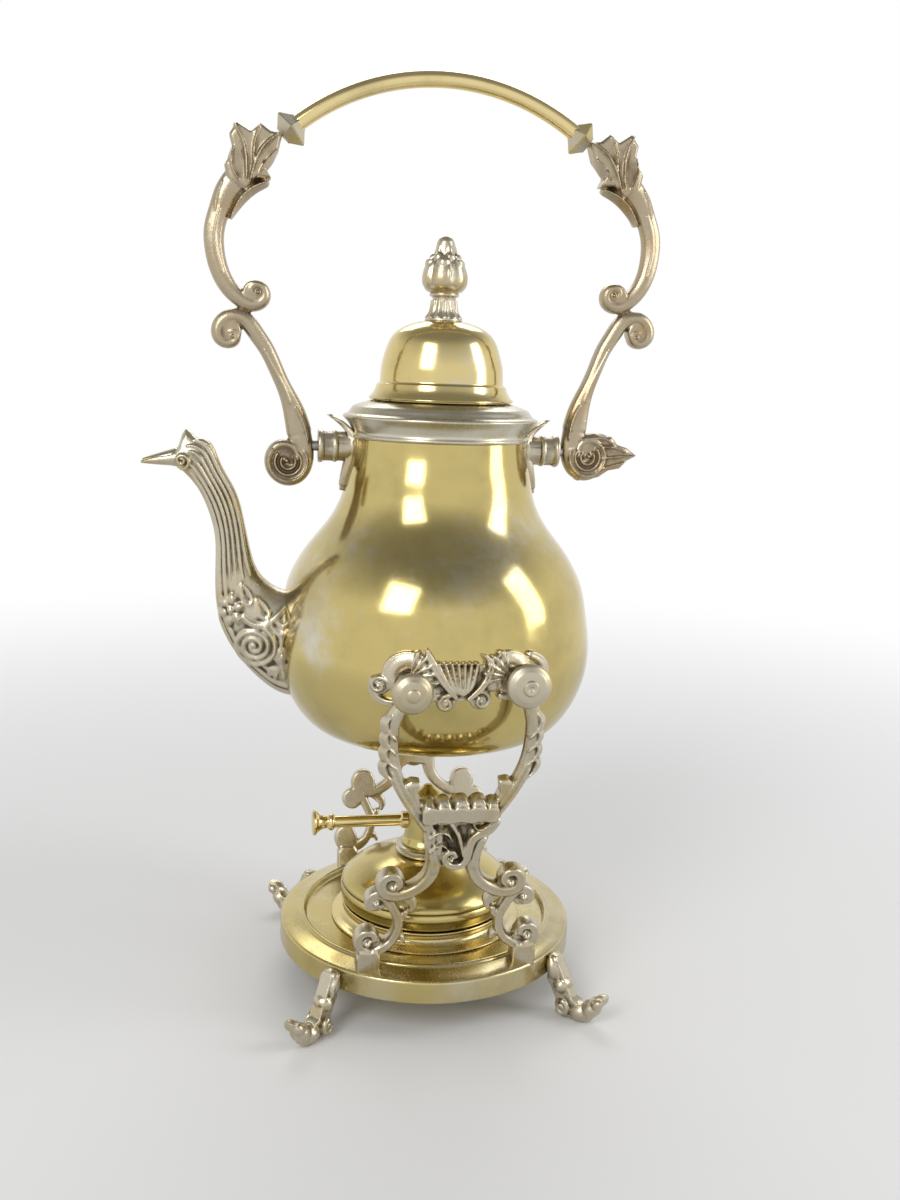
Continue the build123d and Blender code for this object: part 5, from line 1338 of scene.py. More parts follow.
def spout_strokes():
    z0 = spout_base - 163.0
    strokes = long_ridges()
    strokes.append(coil_stroke((-80.2, 158.6 + z0), 60, -3.0, 9.6, 0.5, 0.95, 1.7))
    for i in range(6):
        a = math.radians(60 * i + 20)
        tip = (-90.2 + 4.3 * math.cos(a), 174.6 + z0 + 5.6 * math.sin(a))
        mid = (-90.2 + 3.3 * math.cos(a), 174.6 + z0 + 4.3 * math.sin(a))
        strokes.append((np.array([(*mid, 1.7), (*tip, 1.6)]), 1.6))
    strokes.append((np.array([(-90.2, 174.3 + z0, 1.5), (-90.2, 174.9 + z0, 1.5)]), 2.0))
    strokes.append(spiral_stroke((-110.2, 237.6 + z0), 250, 1.6, 4.0, 0.8, 0.85, 1.1))
    leaf = [(-66.0, 178.0, 0.5), (-71.5, 171.5, 1.3), (-75.8, 168.6, 1.5), (-80.6, 168.8, 1.2),
        (-84.6, 171.8, 0.6)]
    strokes.append(stroke([(x, z + z0, h) for x, z, h in leaf], 1.0, 1.1))
    for cx, cz, tilt in ((-76.6, 176.0, 118), (-83.4, 181.6, 112), (-70.6, 168.4, 140)):
        a = math.radians(tilt)
        loop = []
        for t in np.linspace(0, 2 * math.pi, 17):
            along_loop, side_loop = 4.6 * math.cos(t), 1.9 * math.sin(t) * (1 - 0.45 * math.cos(t))
            loop.append((cx + along_loop * math.cos(a) - side_loop * math.sin(a),
                         cz + z0 + along_loop * math.sin(a) + side_loop * math.cos(a), 0.6))
        strokes.append((np.array(loop), 0.9))
    lower = [
        [(-61.0, 135.4), (-68.0, 137.0), (-76.0, 142.2), (-84.0, 150.4), (-90.6, 160.0), (-95.4, 170.0)],
        [(-62.5, 139.8), (-69.0, 141.0), (-76.4, 145.8), (-83.2, 152.8), (-88.4, 160.6), (-90.6, 165.4)],
    ]
    for line in lower:
        strokes.append(stroke([(x, z + z0) for x, z in line], 0.9, 1.1))
    for cx, cz, start, turns in ((-72.4, 147.0, 300, 1.4), (-66.0, 146.2, 290, 1.3), (-69.2, 154.8, 60, 1.3)):
        strokes.append(spiral_stroke((cx, cz + z0), start, turns, 2.7, 0.8, 0.75, 1.1))
    for step in np.linspace(0, 1, 15):
        x, z = -61.6 - 1.2 * math.sin(math.pi * step), 137.0 + 45.0 * step + z0
        strokes.append((np.array([(x, z, 1.0), (x, z + 0.3, 1.0)]), 1.0))
    return strokes


def relief(x, z, strokes):
    """Height of the relief at each place of the side view."""
    height = np.zeros_like(x)
    place = np.column_stack([x.ravel(), z.ravel()])
    best = np.zeros(len(place))
    for line, lift in strokes:
        for a, b in zip(line[:-1], line[1:]):
            near = np.abs(place[:, 0] - a[0]) + np.abs(place[:,
                1] - a[1]) < 9 + abs(b[0] - a[0]) + abs(b[1] - a[1])
            spot = place[near]
            run = b[:2] - a[:2]
            share = np.clip(((spot - a[:2]) @ run) / max(run @ run, 1e-9), 0, 1)
            away = np.hypot(*(spot - a[:2] - share[:, None] * run).T)
            half = a[2] + (b[2] - a[2]) * share
            rise = lift * np.clip(1.05 - (away / half) ** 2 * 0.85, 0, 1) ** 0.7
            rise[away > 1.12 * half] = 0
            best[near] = np.maximum(best[near], rise)
    return height + best.reshape(x.shape)


strokes = spout_strokes()
lift = relief(skin[..., 0], skin[..., 2], strokes)
print("spout strokes:", len(strokes), "highest", round(float(lift.max()), 2), "mm")

# %% [markdown]
# The skin is lifted by the relief, most on the flanks and less on the ridge lines, and drawn up to a
# crest behind the beak. Then it is bored through, opened at the beak and cut to the belly.

# %% Spout: lift, bore and open the beak
def spout_piece():
    flank = np.clip(np.abs(skin_out[..., 1]) * 1.5, 0, 1)
    ground = spout_skin(0.75)[0]
    lifted = ground + skin_out * (lift * flank)[..., None]
    crest = spout_base + np.interp(
        lifted[..., 0], [-113.0, -111.4, -109.9, -108.3, -106.6, -104.3, -101.0],
        [76.0, 81.0, 85.8, 88.0, 86.8, 84.6, 81.4], left=-200.0, right=-200.0)
    middle = np.clip(1.5 * skin_out[..., 2], 0, 1) * np.exp(-(lifted[..., 1] / 4.0) ** 2)
    lifted[..., 2] += np.maximum(crest - lifted[..., 2], 0) * middle
    core, _ = spout_skin(2.6, 10, 48, 0, 10)
    sheet = []
    rim = [(-130.5, 73.8), (-122.0, 75.8), (-115.6, 77.6), (-112.4, 80.2), (-112.9, 100.0), (-131.0, 100.0)]
    rim = flowing([(x, spout_base + up) for x, up in rim[:4]], 6).tolist() + [
        (x, spout_base + up) for x, up in rim[4:]]
    for y in (-30.0, 30.0):
        sheet += [(x, y, z) for x, z in rim]
    count = len(rim)
    walls = [[i, (i + 1) % count, count + (i + 1) % count, count + i] for i in range(count)]
    opening = np.array(sheet), walls + [list(range(count))[::-1], list(range(count, 2 * count))]
    gape_rows = flowing([
        (-112.6, 76.6, 3.4, 3.8, 172.0), (-119.0, 75.6, 2.2, 3.0, 176.0), (-126.5, 74.4, 0.7, 1.0, 184.0),
    ], 8)
    a = np.linspace(0, 2 * math.pi, 40, endpoint=False)
    turn = np.radians(gape_rows[:, 4] - 90)
    gape = np.stack([
        gape_rows[:, 0, None] + np.cos(turn)[:, None] * gape_rows[:, 2, None] * np.sin(a),
        gape_rows[:, 3, None] * np.cos(a),
        spout_base + gape_rows[:, 1, None] + np.sin(turn)[:, None] * gape_rows[:, 2, None] * np.sin(a),
    ], -1)
    return cast(
        "visual_spout", [grid_shell(lifted)], cast_silver, "kettle", "spout", voxel=None, keep=0.8,
        hollow_depth=0.3, cut=[grid_shell(core), grid_shell(gape), opening,
            turned(body_profile_filled(), 96)],
    )


def body_profile_filled():
    return [(0.0, body_low)] + list(map(tuple, body_line)) + [(0.0, neck_top)]


spout_piece()

# %% [markdown]
# ## Ears
# Each ear is a leaf strap on the neck that turns outwards under the rim, with a barrel that takes
# the pin of the bail.

# %% Ears
def ear_shells():
    """The far ear, before its bore is cut."""
    low, high = corners("ear_far")
    end, z0 = high[0], bail_axis
    barrel = [
        (0.0, 36.6), (6.0, 36.8), (6.6, 38.4), (6.3, 39.4), (6.3, 44.8), (6.9, 45.4), (6.9, 46.2),
        (6.3, 46.8), (6.3, end - 2.4), (7.0, end - 1.9), (7.2, end - 1.0), (6.9, end - 0.1), (0.0, end),
    ]
    lay = Matrix.Translation((0, 0, z0)) @ Matrix.Rotation(math.radians(90), 4, "Y")
    shells = [placed(turned(barrel, 72, closed=False), lay)]

    def on_neck(u, v, w):
        r = np.interp(v, line_z, line_r)
        rise = np.maximum(v - (neck_top - 0.5), 0)
        r = r + 0.34 * rise + 0.085 * rise**2
        return np.column_stack([r + w, u, v])

    strap = [
        (0.0, low[2] + 1.0, 0.8), (0.0, z0 - 14.0, 2.8), (0.0, z0 - 8.0, 5.0), (0.0, z0, 5.8),
        (0.0, z0 + 6.0, 5.4), (0.0, z0 + 9.5, 4.2), (0.0, high[2] - 1.4, 2.2), (0.0, high[2] - 0.8, 0.7),
    ]
    shells.append(band(strap, on_neck, 2.0, 1.0, section_flat))
    for side in (-1, 1):
        rib = [(side * 1.4, low[2] + 3.0, 0.5), (side * 3.4, z0 - 9.0, 0.8), (side * 4.6, z0, 0.9),
               (side * 4.0, z0 + 6.0, 0.9), (side * 1.8, high[2] - 3.0, 0.7)]
        shells.append(band(rib, on_neck, 2.7, 0.5, section_round))
    for step in range(5):
        shells.append(bead(0.0, low[2] + 3.0 + 2.5 * step, 0.9 + 0.12 * step, on_neck, 2.8, 0.5))
    shells.append(band([(0.0, z0 + 8.0, 1.2), (0.0, high[2] - 3.4, 1.0), (0.0, high[2] - 1.8, 0.5)],
        on_neck, 2.9, 0.6))
    return shells


def far_ear_cuts():
    bore = turned([(0.0, 38.9), (2.4, 38.9), (2.4, 70.0), (0.0, 70.0)], 40, closed=False)
    lay = Matrix.Translation((0, 0, bail_axis)) @ Matrix.Rotation(math.radians(90), 4, "Y")
    return [placed(bore, lay)]


def mirrored_x(shells):
    return [(points * (-1, 1, 1), faces) for points, faces in shells]


cast("visual_ear_far", ear_shells(), cast_silver, "kettle", "ear_far", voxel=0.36, cut=far_ear_cuts())
cast("visual_ear_spout", mirrored_x(ear_shells()), cast_silver, "kettle", "ear_spout", voxel=0.36,
     cut=mirrored_x(far_ear_cuts()))

# %% [markdown]
# ## Bail
# The arms of the bail are flat castings too, worked on both faces. An arm is a crown of pointed
# leaves, an upper scroll, a lower scroll and a foot scroll round its pin. On the far side a pointed
# leaf ends the foot scroll. The whole bail leans a little towards the spout.

# %% The bail's sheet
bail_lean = math.radians(2.0)


def on_bail(u, v, w):
    """From the bail's own plane to space: u runs along X, v climbs, w is the thickness."""
    x = u * math.cos(bail_lean) - v * math.sin(bail_lean)
    z = u * math.sin(bail_lean) + v * math.cos(bail_lean)
    return np.column_stack([x, w, bail_axis + z])


def on_bail_left(u, v, w):
    return on_bail(-u, v, w)


# %% [markdown]
# Scroll bands on both faces are `band` strips with the same section front and back. Filled discs lie
# behind the curls, and a thin rib follows the upper and the lower scroll.

# %% Arms of the bail
upper_scroll = [
    (83.5, 110.0, 5.5), (87.5, 105.0, 5.0), (90.6, 98.4, 4.4), (93.0, 91.3, 4.25), (93.2, 81.2, 4.0),
    (91.2, 72.9, 3.8), (87.6, 66.6, 3.6), (83.3, 62.6, 3.4), (78.4, 60.6, 3.0), (74.2, 62.3, 2.6),
    (73.6, 66.2, 2.2), (76.6, 68.6, 1.9), (79.4, 66.6, 1.5), (78.2, 64.2, 1.1),
]
lower_scroll = [
    (88.6, 49.4, 1.0), (86.4, 49.6, 1.4), (85.8, 46.6, 1.8), (89.2, 44.8, 2.2), (93.0, 47.2, 2.6),
    (92.6, 52.2, 3.0), (88.0, 55.6, 3.2), (82.6, 54.8, 3.4), (78.0, 49.4, 3.5), (73.6, 42.6, 3.3),
    (69.6, 33.6, 3.1), (65.8, 24.6, 3.4), (62.8, 16.4, 4.6), (60.9, 8.0, 5.4),
]
foot_scroll = [
    (60.6, 6.0, 5.2), (58.6, -1.0, 3.9), (58.6, -6.0, 3.2), (61.4, -10.8, 2.9), (66.8, -12.4, 2.7),
    (72.4, -8.8, 2.4), (73.6, -2.6, 2.2), (70.0, 2.4, 2.0), (64.8, 2.4, 1.8), (62.0, -1.6, 1.5),
    (63.6, -5.6, 1.3), (67.0, -5.2, 1.1), (67.0, -2.8, 0.9),
]
crown_outline = [
    (64.4, 128.0), (69.0, 128.4), (73.0, 131.4), (77.0, 128.2), (82.6, 131.6), (85.8, 127.0), (84.4, 121.0),
    (88.2, 115.0), (86.6, 108.6), (80.0, 105.6), (75.4, 110.4), (69.4, 110.2), (72.6, 116.4), (66.4, 120.6),
]


def two_faced(rows, place, thickness=4.1, section=section_channel):
    """A band with the same face on both sides."""
    shell = band(rows, place, thickness, thickness, section, flat_back=False)
    back = band(rows, lambda u, v, w: place(u, v, -w), thickness, thickness, section, flat_back=False)
    return [shell, back]


def bail_arm_shells(place, tail):
    shells = []
    for rows in (upper_scroll, lower_scroll, foot_scroll):
        shells += two_faced(rows, place, section=section_soft)
    shells.append(slab(crown_outline, place, 4.6, 4.6, 1.2))
    both = (place, lambda u, v, w: place(u, v, -w))
    for face in both:
        for fold in (
            [(78.0, 109.0, 1.6), (75.6, 116.6, 3.0), (70.6, 124.0, 2.6), (65.6, 127.4, 0.8)],
            [(79.6, 110.0, 1.6), (79.4, 118.4, 2.8), (81.0, 126.0, 2.4), (83.4, 130.6, 0.8)],
            [(76.4, 117.0, 1.4), (75.6, 124.0, 2.2), (73.6, 130.2, 0.8)],
            [(73.6, 112.8, 1.2), (70.6, 117.0, 2.0), (67.2, 120.8, 0.8)],
            [(82.8, 109.6, 1.4), (85.2, 115.0, 1.9), (84.6, 121.6, 0.8)],
        ):
            shells.append(band(fold, face, 6.2, 1.0, section_ridge))
        for u, v, radius, lift in ((76.4, 65.4, 1.3, 5.2), (87.4, 47.6, 1.2, 5.2), (66.6, -4.0, 1.6, 5.6)):
            shells.append(bead(u, v, radius, face, lift, 1.0))
        shells.append(band([(72.0, 108.6, 1.8), (77.5, 106.2, 2.4), (82.6, 101.4, 2.2), (86.2, 95.0, 0.8)],
                           face, 4.9, 1.0, section_ridge))
        shells.append(band([(89.4, 108.6, 0.7), (91.6, 103.0, 1.6), (92.4, 97.6, 1.4)], face, 4.4, 1.0,
            section_ridge))
        shells.append(disc(66.2, -4.8, 9.2, face, 3.2, 1.0))
        shells.append(disc(77.6, 65.0, 5.2, face, 3.6, 1.0))
        shells.append(disc(88.6, 49.4, 5.0, face, 3.6, 1.0))
        for radius, lift in ((8.2, 4.9), (5.6, 5.1), (3.1, 5.3)):
            turns = np.radians(np.linspace(150, 400, 26))
            arc = [(66.0 + radius * math.cos(a), -4.6 + radius * math.sin(a), 0.95) for a in turns]
            shells.append(band(arc, face, lift, 1.0, section_round, bend=0))
        shells.append(band([(64.4, 20.0, 1.0), (66.6, 26.0, 1.2), (70.4, 33.6, 1.2), (74.4, 41.6, 0.8)],
                           face, 4.7, 1.0, section_round))
        shells.append(band([(90.6, 73.4, 0.8), (92.8, 82.0, 1.2), (92.6, 91.0, 1.2), (90.4, 98.6, 0.8)],
                           face, 4.7, 1.0, section_round))
        shells.append(band([(62.0, 18.0, 2.4), (58.8, 11.0, 2.6), (57.4, 4.0, 1.8)], face, 4.9, 1.0,
            section_ridge))
    if tail:
        leaf = [
            (60.0, 2.0), (64.0, 5.2), (69.6, 6.0), (73.2, 4.4), (77.6, 4.4), (80.4, 0.8), (84.6, -0.6),
            (89.4, -4.2), (84.8, -6.4), (81.6, -9.8), (76.4, -10.6), (71.6, -13.6), (62.0, -15.0),
            (58.0, -10.0),
        ]
        shells.append(slab(leaf, place, 3.4, 3.4, 1.0))
        for face in both:
            for fold in (
                [(64.0, 3.6, 1.4), (70.0, 4.0, 2.1), (75.0, 3.2, 1.8), (78.8, 0.6, 0.8)],
                [(72.6, 0.0, 1.3), (78.6, -0.4, 2.0), (84.0, -2.4, 1.0)],
                [(73.4, -5.0, 1.6), (80.4, -4.4, 2.0), (88.0, -4.4, 0.7)],
                [(71.0, -10.4, 1.9), (77.0, -8.6, 2.1), (83.6, -7.0, 0.9)],
            ):
                shells.append(band(fold, face, 4.6, 1.0, section_ridge))
    return shells


def bail_arm_cuts(sign):
    """A bore for the pin and room for the barrel of the ear."""
    end = corners("ear_far")[1][0]
    lay = Matrix.Translation((0, 0, bail_axis)) @ Matrix.Rotation(math.radians(90), 4, "Y")
    bore = turned([(0.0, 40.0), (2.25, 40.0), (2.25, end + 9.4), (0.0, end + 9.4)], 40, closed=False)
    room = turned([(0.0, 40.0), (14.0, 40.0), (14.0, end + 0.4), (0.0, end + 0.4)], 48, closed=False)
    cuts = [placed(bore, lay), placed(room, lay)]
    return cuts if sign > 0 else mirrored_x(cuts)


cast("visual_bail_arm_far", bail_arm_shells(on_bail, True), bail_silver, "bail", "bail_arm_far",
     voxel=0.4, cut=bail_arm_cuts(1))
cast("visual_bail_arm_spout", bail_arm_shells(on_bail_left, False), bail_silver, "bail",
     "bail_arm_spout", voxel=0.4, cut=bail_arm_cuts(-1))

# %% [markdown]
# The grip is a plain rod, bent in an arc between two square collars. The collars are double
# pyramids with their corners left sharp.

# %% Grip and its collars
grip_bend, grip_rise = 98.0, 151.2


def grip_shell():
    low, high = corners("grip_tube")
    reach = (high[0] - low[0]) / 2 - 0.6
    half = math.asin(min(reach / grip_bend, 0.99))
    turns = np.linspace(-half, half, 97)
    radius, around, points, faces = 3.3, 40, [], []
    for t in turns:
        u, v = grip_bend * math.sin(t), grip_rise - grip_bend + grip_bend * math.cos(t)
        for a in np.linspace(0, 2 * math.pi, around, endpoint=False):
            out, side = radius * math.cos(a), radius * math.sin(a)
            points.append((u + out * math.sin(t), v + out * math.cos(t), side))
    points = np.array(points)
    for i in range(len(turns) - 1):
        for j in range(around):
            k = (j + 1) % around
            faces.append([i * around + j, i * around + k, (i + 1) * around + k, (i + 1) * around + j])
    faces.append(list(range(around))[::-1])
    faces.append([(len(turns) - 1) * around + j for j in range(around)])
    return on_bail(points[:, 0], points[:, 1], points[:, 2]), faces


piece("visual_grip_tube", grip_shell(), bright_metal, "bail", "grip_tube")


def square_collar(sign):
    x = 60.9
    turn = math.asin(x / grip_bend)
    z = grip_rise - grip_bend + math.sqrt(grip_bend**2 - x**2)
    points, faces = [], []
    for along, half in ((-4.4, 0.1), (-4.4, 3.6), (-3.5, 4.4), (-0.7, 7.5), (-0.35, 7.85), (0.35, 7.85),
                        (0.7, 7.5), (3.5, 4.4), (4.4, 3.6), (4.4, 0.1)):
        for corner in range(4):
            out = half * (1, 0, -1, 0)[corner]
            side = half * (0, 1, 0, -1)[corner]
            u = x + along * math.cos(turn) + out * math.sin(turn)
            v = z - along * math.sin(turn) + out * math.cos(turn)
            points.append((sign * u, v, side))
    points = np.array(points)
    for i in range(9):
        for j in range(4):
            k = (j + 1) % 4
            faces.append([4 * i + j, 4 * i + k, 4 * i + 4 + k, 4 * i + 4 + j])
    faces += [[0, 1, 2, 3], [36, 37, 38, 39]]
    return on_bail(points[:, 0], points[:, 1], points[:, 2]), faces


for sign, name in ((1, "far"), (-1, "spout")):
    piece(f"visual_grip_collar_{name}", square_collar(sign), knob_metal, "bail", f"grip_collar_{name}",
          sharp_angle=20)
print("bail and grip made")

# %% [markdown]
# ## Feet
# A foot is a leaf against the tray's band, a knop, a rolled heel and an upturned two-lobed toe. It
# is drawn in a radial plane, (distance from the axis, height), and then in bands across it.

# %% Feet
def foot_shells(turn):
    c, s = math.cos(turn), math.sin(turn)

    def side_view(u, v, w):
        return np.column_stack([u * c - w * s, u * s + w * c, v])

    def lump(r, z, reach, wide, tall, tilt=0.0, aside=0.0):
        """An egg-shaped lump, longest along its tilt in the side view."""
        points, faces = bead(0.0, 0.0, 1.0, lambda u, v, w: np.column_stack([u, v, w]), 1.0, 1.0)
        t = math.radians(tilt)
        u = points[:, 0] * reach * math.cos(t) - points[:, 1] * tall * math.sin(t)
        v = points[:, 0] * reach * math.sin(t) + points[:, 1] * tall * math.cos(t)
        return side_view(r + u, z + v, aside + points[:, 2] * wide), faces

    side_line = [
        (67.9, 15.5), (68.2, 26.8), (72.4, 27.4), (73.6, 24.4), (76.3, 19.0), (79.4, 12.8), (80.6, 9.8),
        (84.6, 8.4), (87.0, 9.2), (89.4, 11.6), (93.0, 13.4), (96.8, 15.2), (95.2, 10.6), (92.6, 6.6),
        (90.0, 2.2), (86.0, 0.4), (76.6, 0.4), (72.6, 1.0), (73.4, 5.7), (71.6, 9.5), (69.4, 13.6),
    ]
    shells = [slab(side_line, side_view, 2.9, 2.9, 1.0)]
    shells += [
        lump(70.8, 21.6, 3.6, 5.2, 6.2, 12), lump(75.0, 14.4, 4.0, 4.9, 4.2, -38),
            lump(77.0, 5.4, 4.9, 5.4, 5.0),
        lump(84.4, 4.8, 5.6, 4.8, 4.4, 6), lump(89.6, 7.6, 5.0, 4.6, 4.0, 45),
    ]
    for side in (-1, 1):
        shells.append(lump(93.2, 11.8, 3.2, 2.6, 2.4, 38, 2.2 * side))
        curl = winding((77.0, 5.6), 80, -1.2, 3.4, 1.0, 1.2, 0.8)
        shells.append(band(curl, lambda u, v, w: side_view(u, v, side * (4.6 + w)), 1.2, 1.0, section_round))
        vein = [(69.6, 26.0, 0.8), (72.8, 21.8, 1.0), (73.8, 17.6, 0.8)]
        shells.append(band(vein, lambda u, v, w: side_view(u, v, side * 2.6 + w), 2.2, 1.0, section_round))
    return shells


def foot_cuts():
    """The foot stands flat on the table and hugs the tray's band."""
    table = slab([(-150, -150), (150, -150), (150, 150), (-150, 150)],
                 lambda u, v, w: np.column_stack([u, v, w]), 0.0, 20.0, 0.01)
    tray = turned([(0.0, rim_bottom), (rim_radius - 0.02, rim_bottom), (rim_radius - 0.02, 40.0),
        (0.0, 40.0)], 128,
                  closed=False)
    return [table, tray]


foot_turns = {"rear_far": 47, "rear_spout": 137, "front_spout": 227, "front_far": 317}
for name, degrees in foot_turns.items():
    turn = math.radians(degrees)
    cast(f"visual_foot_{name}", foot_shells(turn), cast_silver, "stand", f"foot_{name}", voxel=0.34,
        cut=foot_cuts())

# %% [markdown]
# ## Finial
# The lid's bud: a fluted stem that flares onto the dome, a thin cup, a ring of rounded leaves whose
# tips curl out, and a tall bud in the middle.

# %% Finial
def finial_shells():
    base = dome_top
    cup = base + 9.6
    stem = [(0.0, base - 0.6), (8.2, base - 0.6), (8.0, base + 0.2), (6.9, base + 1.6), (5.7, base + 3.8),
            (5.0, base + 6.4), (4.8, base + 8.4), (5.2, cup - 0.2), (6.3, cup + 0.2), (6.4, cup + 0.9),
            (5.6, cup + 1.4), (7.6, cup + 2.2), (8.6, cup + 3.2), (8.4, cup + 4.2), (7.8, cup + 6.0),
            (5.0, cup + 8.0), (0.0, cup + 9.0)]
    shells = [turned(stem, 96, closed=False)]

    def petal(turn, path):
        """A sheet whose v runs along a path of (radius, height) and u goes round the axis."""
        path = flowing(path, 6)
        run = np.r_[0, np.cumsum(np.hypot(*np.diff(path, axis=0).T))]
        slope = np.gradient(path, axis=0)
        slope /= np.hypot(slope[:, 0], slope[:, 1])[:, None]

        def place(u, v, w):
            r = np.interp(v, run, path[:, 0]) + w * np.interp(v, run, slope[:, 1])
            z = np.interp(v, run, path[:, 1]) - w * np.interp(v, run, slope[:, 0])
            a = turn + u / np.maximum(r, 2.5)
            return np.column_stack([r * np.cos(a), r * np.sin(a), z])
        return place, run[-1]

    for i in range(12):
        a = 2 * math.pi * i / 12
        flute, length = petal(a, [(7.6, base + 0.3), (6.2, base + 2.0), (5.2, base + 5.0), (4.9, base + 8.0)])
        shells.append(band([(0.0, 0.3, 1.5), (0.0, length * 0.35, 1.15), (0.0, length, 0.9)], flute,
            0.9, 0.8, section_round))
    for i in range(6):
        a = 2 * math.pi * (i + 0.25) / 6
        leaf, length = petal(a, [
            (6.0, cup + 2.4), (8.6, cup + 4.6), (9.0, cup + 8.0), (8.2, cup + 11.4), (6.4, cup + 14.6),
            (4.6, cup + 16.0)])
        shells.append(band([(0.0, 0.2, 2.6), (0.0, 3.0, 4.2), (0.0, 7.0, 4.5), (0.0, length - 3.6, 3.6),
                            (0.0, length - 0.4, 2.2)], leaf, 1.0, 1.4, section_round, flat_back=False))
        fold, length = petal(a + 0.3, [(8.8, cup + 5.0), (9.2, cup + 8.0), (7.9, cup + 12.0)])
        shells.append(band([(0.0, 0.4, 0.6), (0.0, 0.5 * length, 0.9), (0.0, length - 0.4, 0.6)], fold,
            1.0, 0.4,
                           section_round))
        tip = petal(a, [(7.4, cup + 12.0), (7.2, cup + 13.4), (6.8, cup + 14.8)])[0]
        shells.append(bead(0.0, 1.4, 2.9, tip, 1.9, 2.0))
        between = petal(a + math.pi / 6, [(5.6, cup + 14.0), (5.4, cup + 16.0), (5.0, cup + 18.0)])[0]
        shells.append(bead(0.0, 1.6, 2.3, between, 1.5, 2.0))
    bud = flowing([(3.0, cup + 6.0), (4.2, cup + 11.0), (4.4, cup + 15.0), (4.2, cup + 19.4),
        (3.6, cup + 22.6),
                   (2.2, finial_top - 0.9), (0.0, finial_top - 0.1)], 5)
    shells.append(turned([(0.0, cup + 6.0)] + list(map(tuple, bud)), 64, closed=False))
    for i in range(5):
        a = 2 * math.pi * i / 5
        fold, length = petal(a, [(3.6, cup + 9.0), (4.7, cup + 14.0), (4.2, cup + 19.0),
            (2.0, finial_top - 1.6)])
        shells.append(band([(0.0, 0.4, 1.2), (0.0, length * 0.5, 1.5), (0.0, length - 0.4, 0.6)], fold,
            0.7, 0.6, section_round))
    return shells


def dome_cut():
    line = [tuple(p) for p in lid_line()]
    return [turned([(0.0, brim_height)] + [(r, z - 0.02) for r, z in line], 128, closed=False)]


cast("visual_finial", finial_shells(), cast_silver, "lid", "finial", voxel=0.3, keep=0.6, cut=dome_cut())

# %% [markdown]
# ## Floor, light and camera
# A plain pale floor that runs out into a plain pale world. Polished metal needs something dark to
# mirror, so the world is bright near the horizon and falls off overhead, and three soft lamps give
# the long highlights. Away from the kettle the floor fades into the white behind it.

# %% Floor and world
FLOOR_GREY = 0.82
FADE_FROM, FADE_TO = 0.22, 1.0  # metres from the kettle
OVERHEAD, AROUND = 0.3, 0.5  # strength of the world above, and as plain light
floor_mesh = bpy.data.meshes.new("floor")
span = 3.0
floor_mesh.from_pydata([(-span, -span, 0), (span, -span, 0), (span, span, 0), (-span, span, 0)], [],
    [(0, 1, 2, 3)])
floor = bpy.data.objects.new("floor", floor_mesh)
bpy.context.scene.collection.objects.link(floor)
floor_material = bpy.data.materials.new("pale_floor")
floor_material.use_nodes = True
ground = floor_material.node_tree
floor_surface = ground.nodes["Principled BSDF"]
floor_surface.inputs["Base Color"].default_value = (FLOOR_GREY, FLOOR_GREY, FLOOR_GREY, 1)
floor_surface.inputs["Roughness"].default_value = 0.9
floor_surface.inputs["Specular IOR Level"].default_value = 0.1


def seen_directly(tree):
    """1 for the rays that show a background: from the camera, off metal and through glass."""
    ray = add(tree, "ShaderNodeLightPath").outputs
    seen = math_node(tree, "MAXIMUM", ray["Is Camera Ray"], ray["Is Transmission Ray"])
    return math_node(tree, "MAXIMUM", seen, ray["Is Glossy Ray"])


from_middle = add(ground, "ShaderNodeVectorMath", {"operation": "LENGTH"},
                  _0=add(ground, "ShaderNodeTexCoord").outputs["Object"]).outputs["Value"]
faded = math_node(ground, "MULTIPLY", smooth_step(ground, from_middle, FADE_FROM, FADE_TO),
    seen_directly(ground))
far_floor = add(ground, "ShaderNodeEmission", Color=(1.0, 1.0, 1.0, 1.0), Strength=1.0)
joined_floor = ground.nodes.new("ShaderNodeMixShader")
ground.links.new(faded, joined_floor.inputs[0])
ground.links.new(floor_surface.outputs[0], joined_floor.inputs[1])
ground.links.new(far_floor.outputs[0], joined_floor.inputs[2])
ground.links.new(joined_floor.outputs[0], ground.nodes["Material Output"].inputs["Surface"])
floor_mesh.materials.append(floor_material)

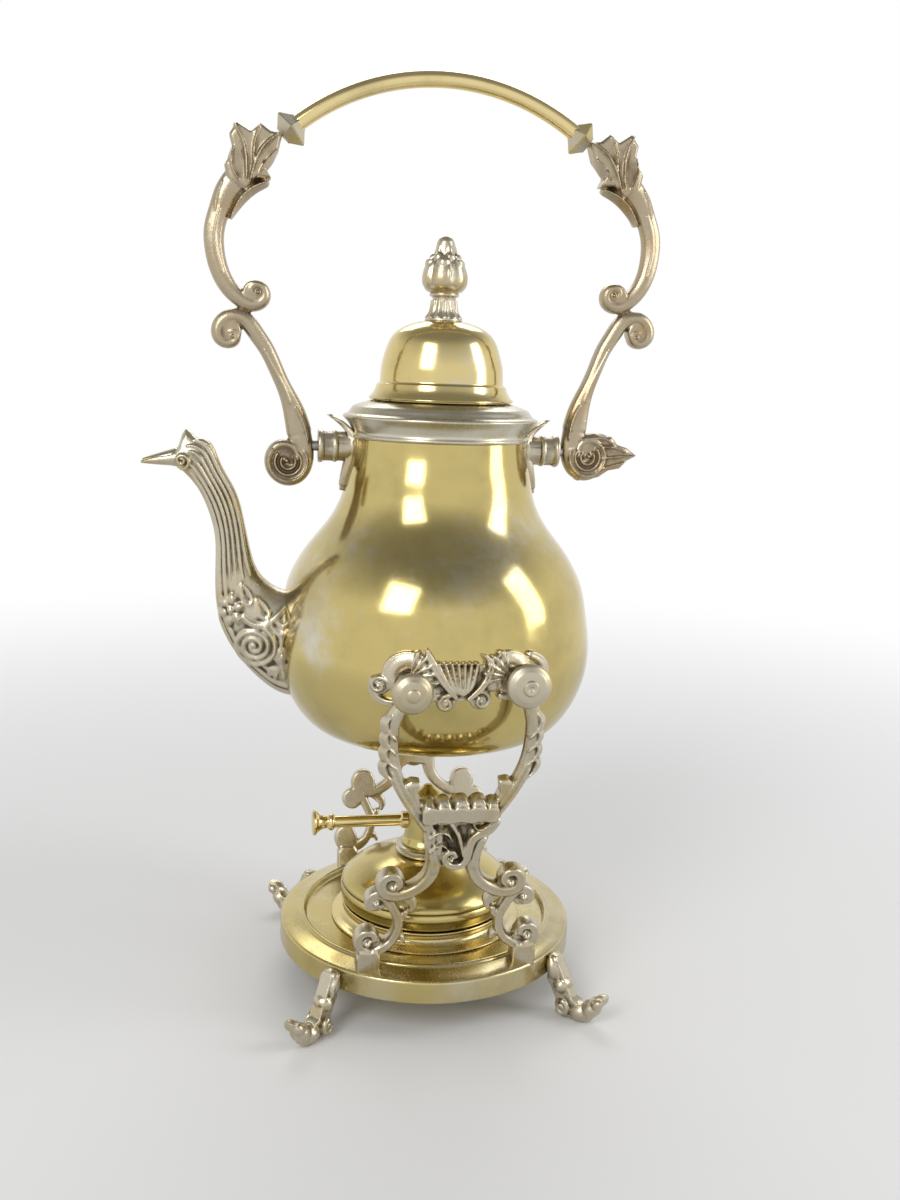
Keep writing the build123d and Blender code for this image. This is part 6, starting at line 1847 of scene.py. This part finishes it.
world = bpy.data.worlds.new("studio")
bpy.context.scene.world = world
world.use_nodes = True
sky = world.node_tree
sky.nodes.clear()
direction = add(sky, "ShaderNodeTexCoord").outputs["Generated"]
height = add(sky, "ShaderNodeSeparateXYZ", Vector=direction).outputs["Z"]
shown = smooth_step(sky, height, 0.3, 0.9, 1.0, OVERHEAD)
strength = add(sky, "ShaderNodeMix", {"data_type": "FLOAT"}, _0=seen_directly(sky), _2=AROUND,
    _3=shown).outputs[0]
plain = add(sky, "ShaderNodeBackground", Color=(1.0, 1.0, 1.0, 1.0), Strength=strength)
sky.links.new(plain.outputs[0], add(sky, "ShaderNodeOutputWorld").inputs["Surface"])
print("floor and world ready")

# %% Lamps and camera
def soft_lamp(name, place, aim, width, height, power, colour=(1.0, 1.0, 1.0)):
    lamp = bpy.data.lights.new(name, "AREA")
    lamp.shape = "RECTANGLE"
    lamp.size, lamp.size_y = width, height
    lamp.energy = power
    lamp.color = colour
    made = bpy.data.objects.new(name, lamp)
    made.location = place
    made.rotation_euler = (Vector(aim) - Vector(place)).to_track_quat("-Z", "Y").to_euler()
    bpy.context.scene.collection.objects.link(made)


soft_lamp("key_lamp", (-0.7, -0.9, 0.9), (0, 0, 0.15), 0.5, 0.7, 6.0)
soft_lamp("side_lamp", (0.95, -0.35, 0.6), (0, 0, 0.18), 0.35, 0.8, 3.4)
soft_lamp("rear_lamp", (0.1, 0.9, 1.0), (0, 0, 0.2), 0.9, 0.4, 3.6)

lens = bpy.data.cameras.new("camera")
lens.sensor_fit = "VERTICAL"
lens.sensor_height = 36.0
lens.lens = 34.56
lens.clip_start = 0.01
camera = bpy.data.objects.new("camera", lens)
bpy.context.scene.collection.objects.link(camera)
CAMERA_PLACE = (-0.0818, -0.5017, 0.2784)  # metres
yaw, pitch, roll = math.radians(10.05), math.radians(11.23), math.radians(2.01)
ahead = Vector((math.sin(yaw) * math.cos(pitch), math.cos(yaw) * math.cos(pitch), -math.sin(pitch)))
right = Vector((math.cos(yaw), -math.sin(yaw), 0))
upward = right.cross(ahead)
across = right * math.cos(roll) + upward * math.sin(roll)
along = upward * math.cos(roll) - right * math.sin(roll)
turn = Matrix((across, along, -ahead)).transposed().to_4x4()
camera.matrix_world = Matrix.Translation(CAMERA_PLACE) @ turn
bpy.context.scene.camera = camera
bpy.context.scene.view_settings.view_transform = "Standard"
print("camera at", tuple(round(c, 3) for c in camera.location))
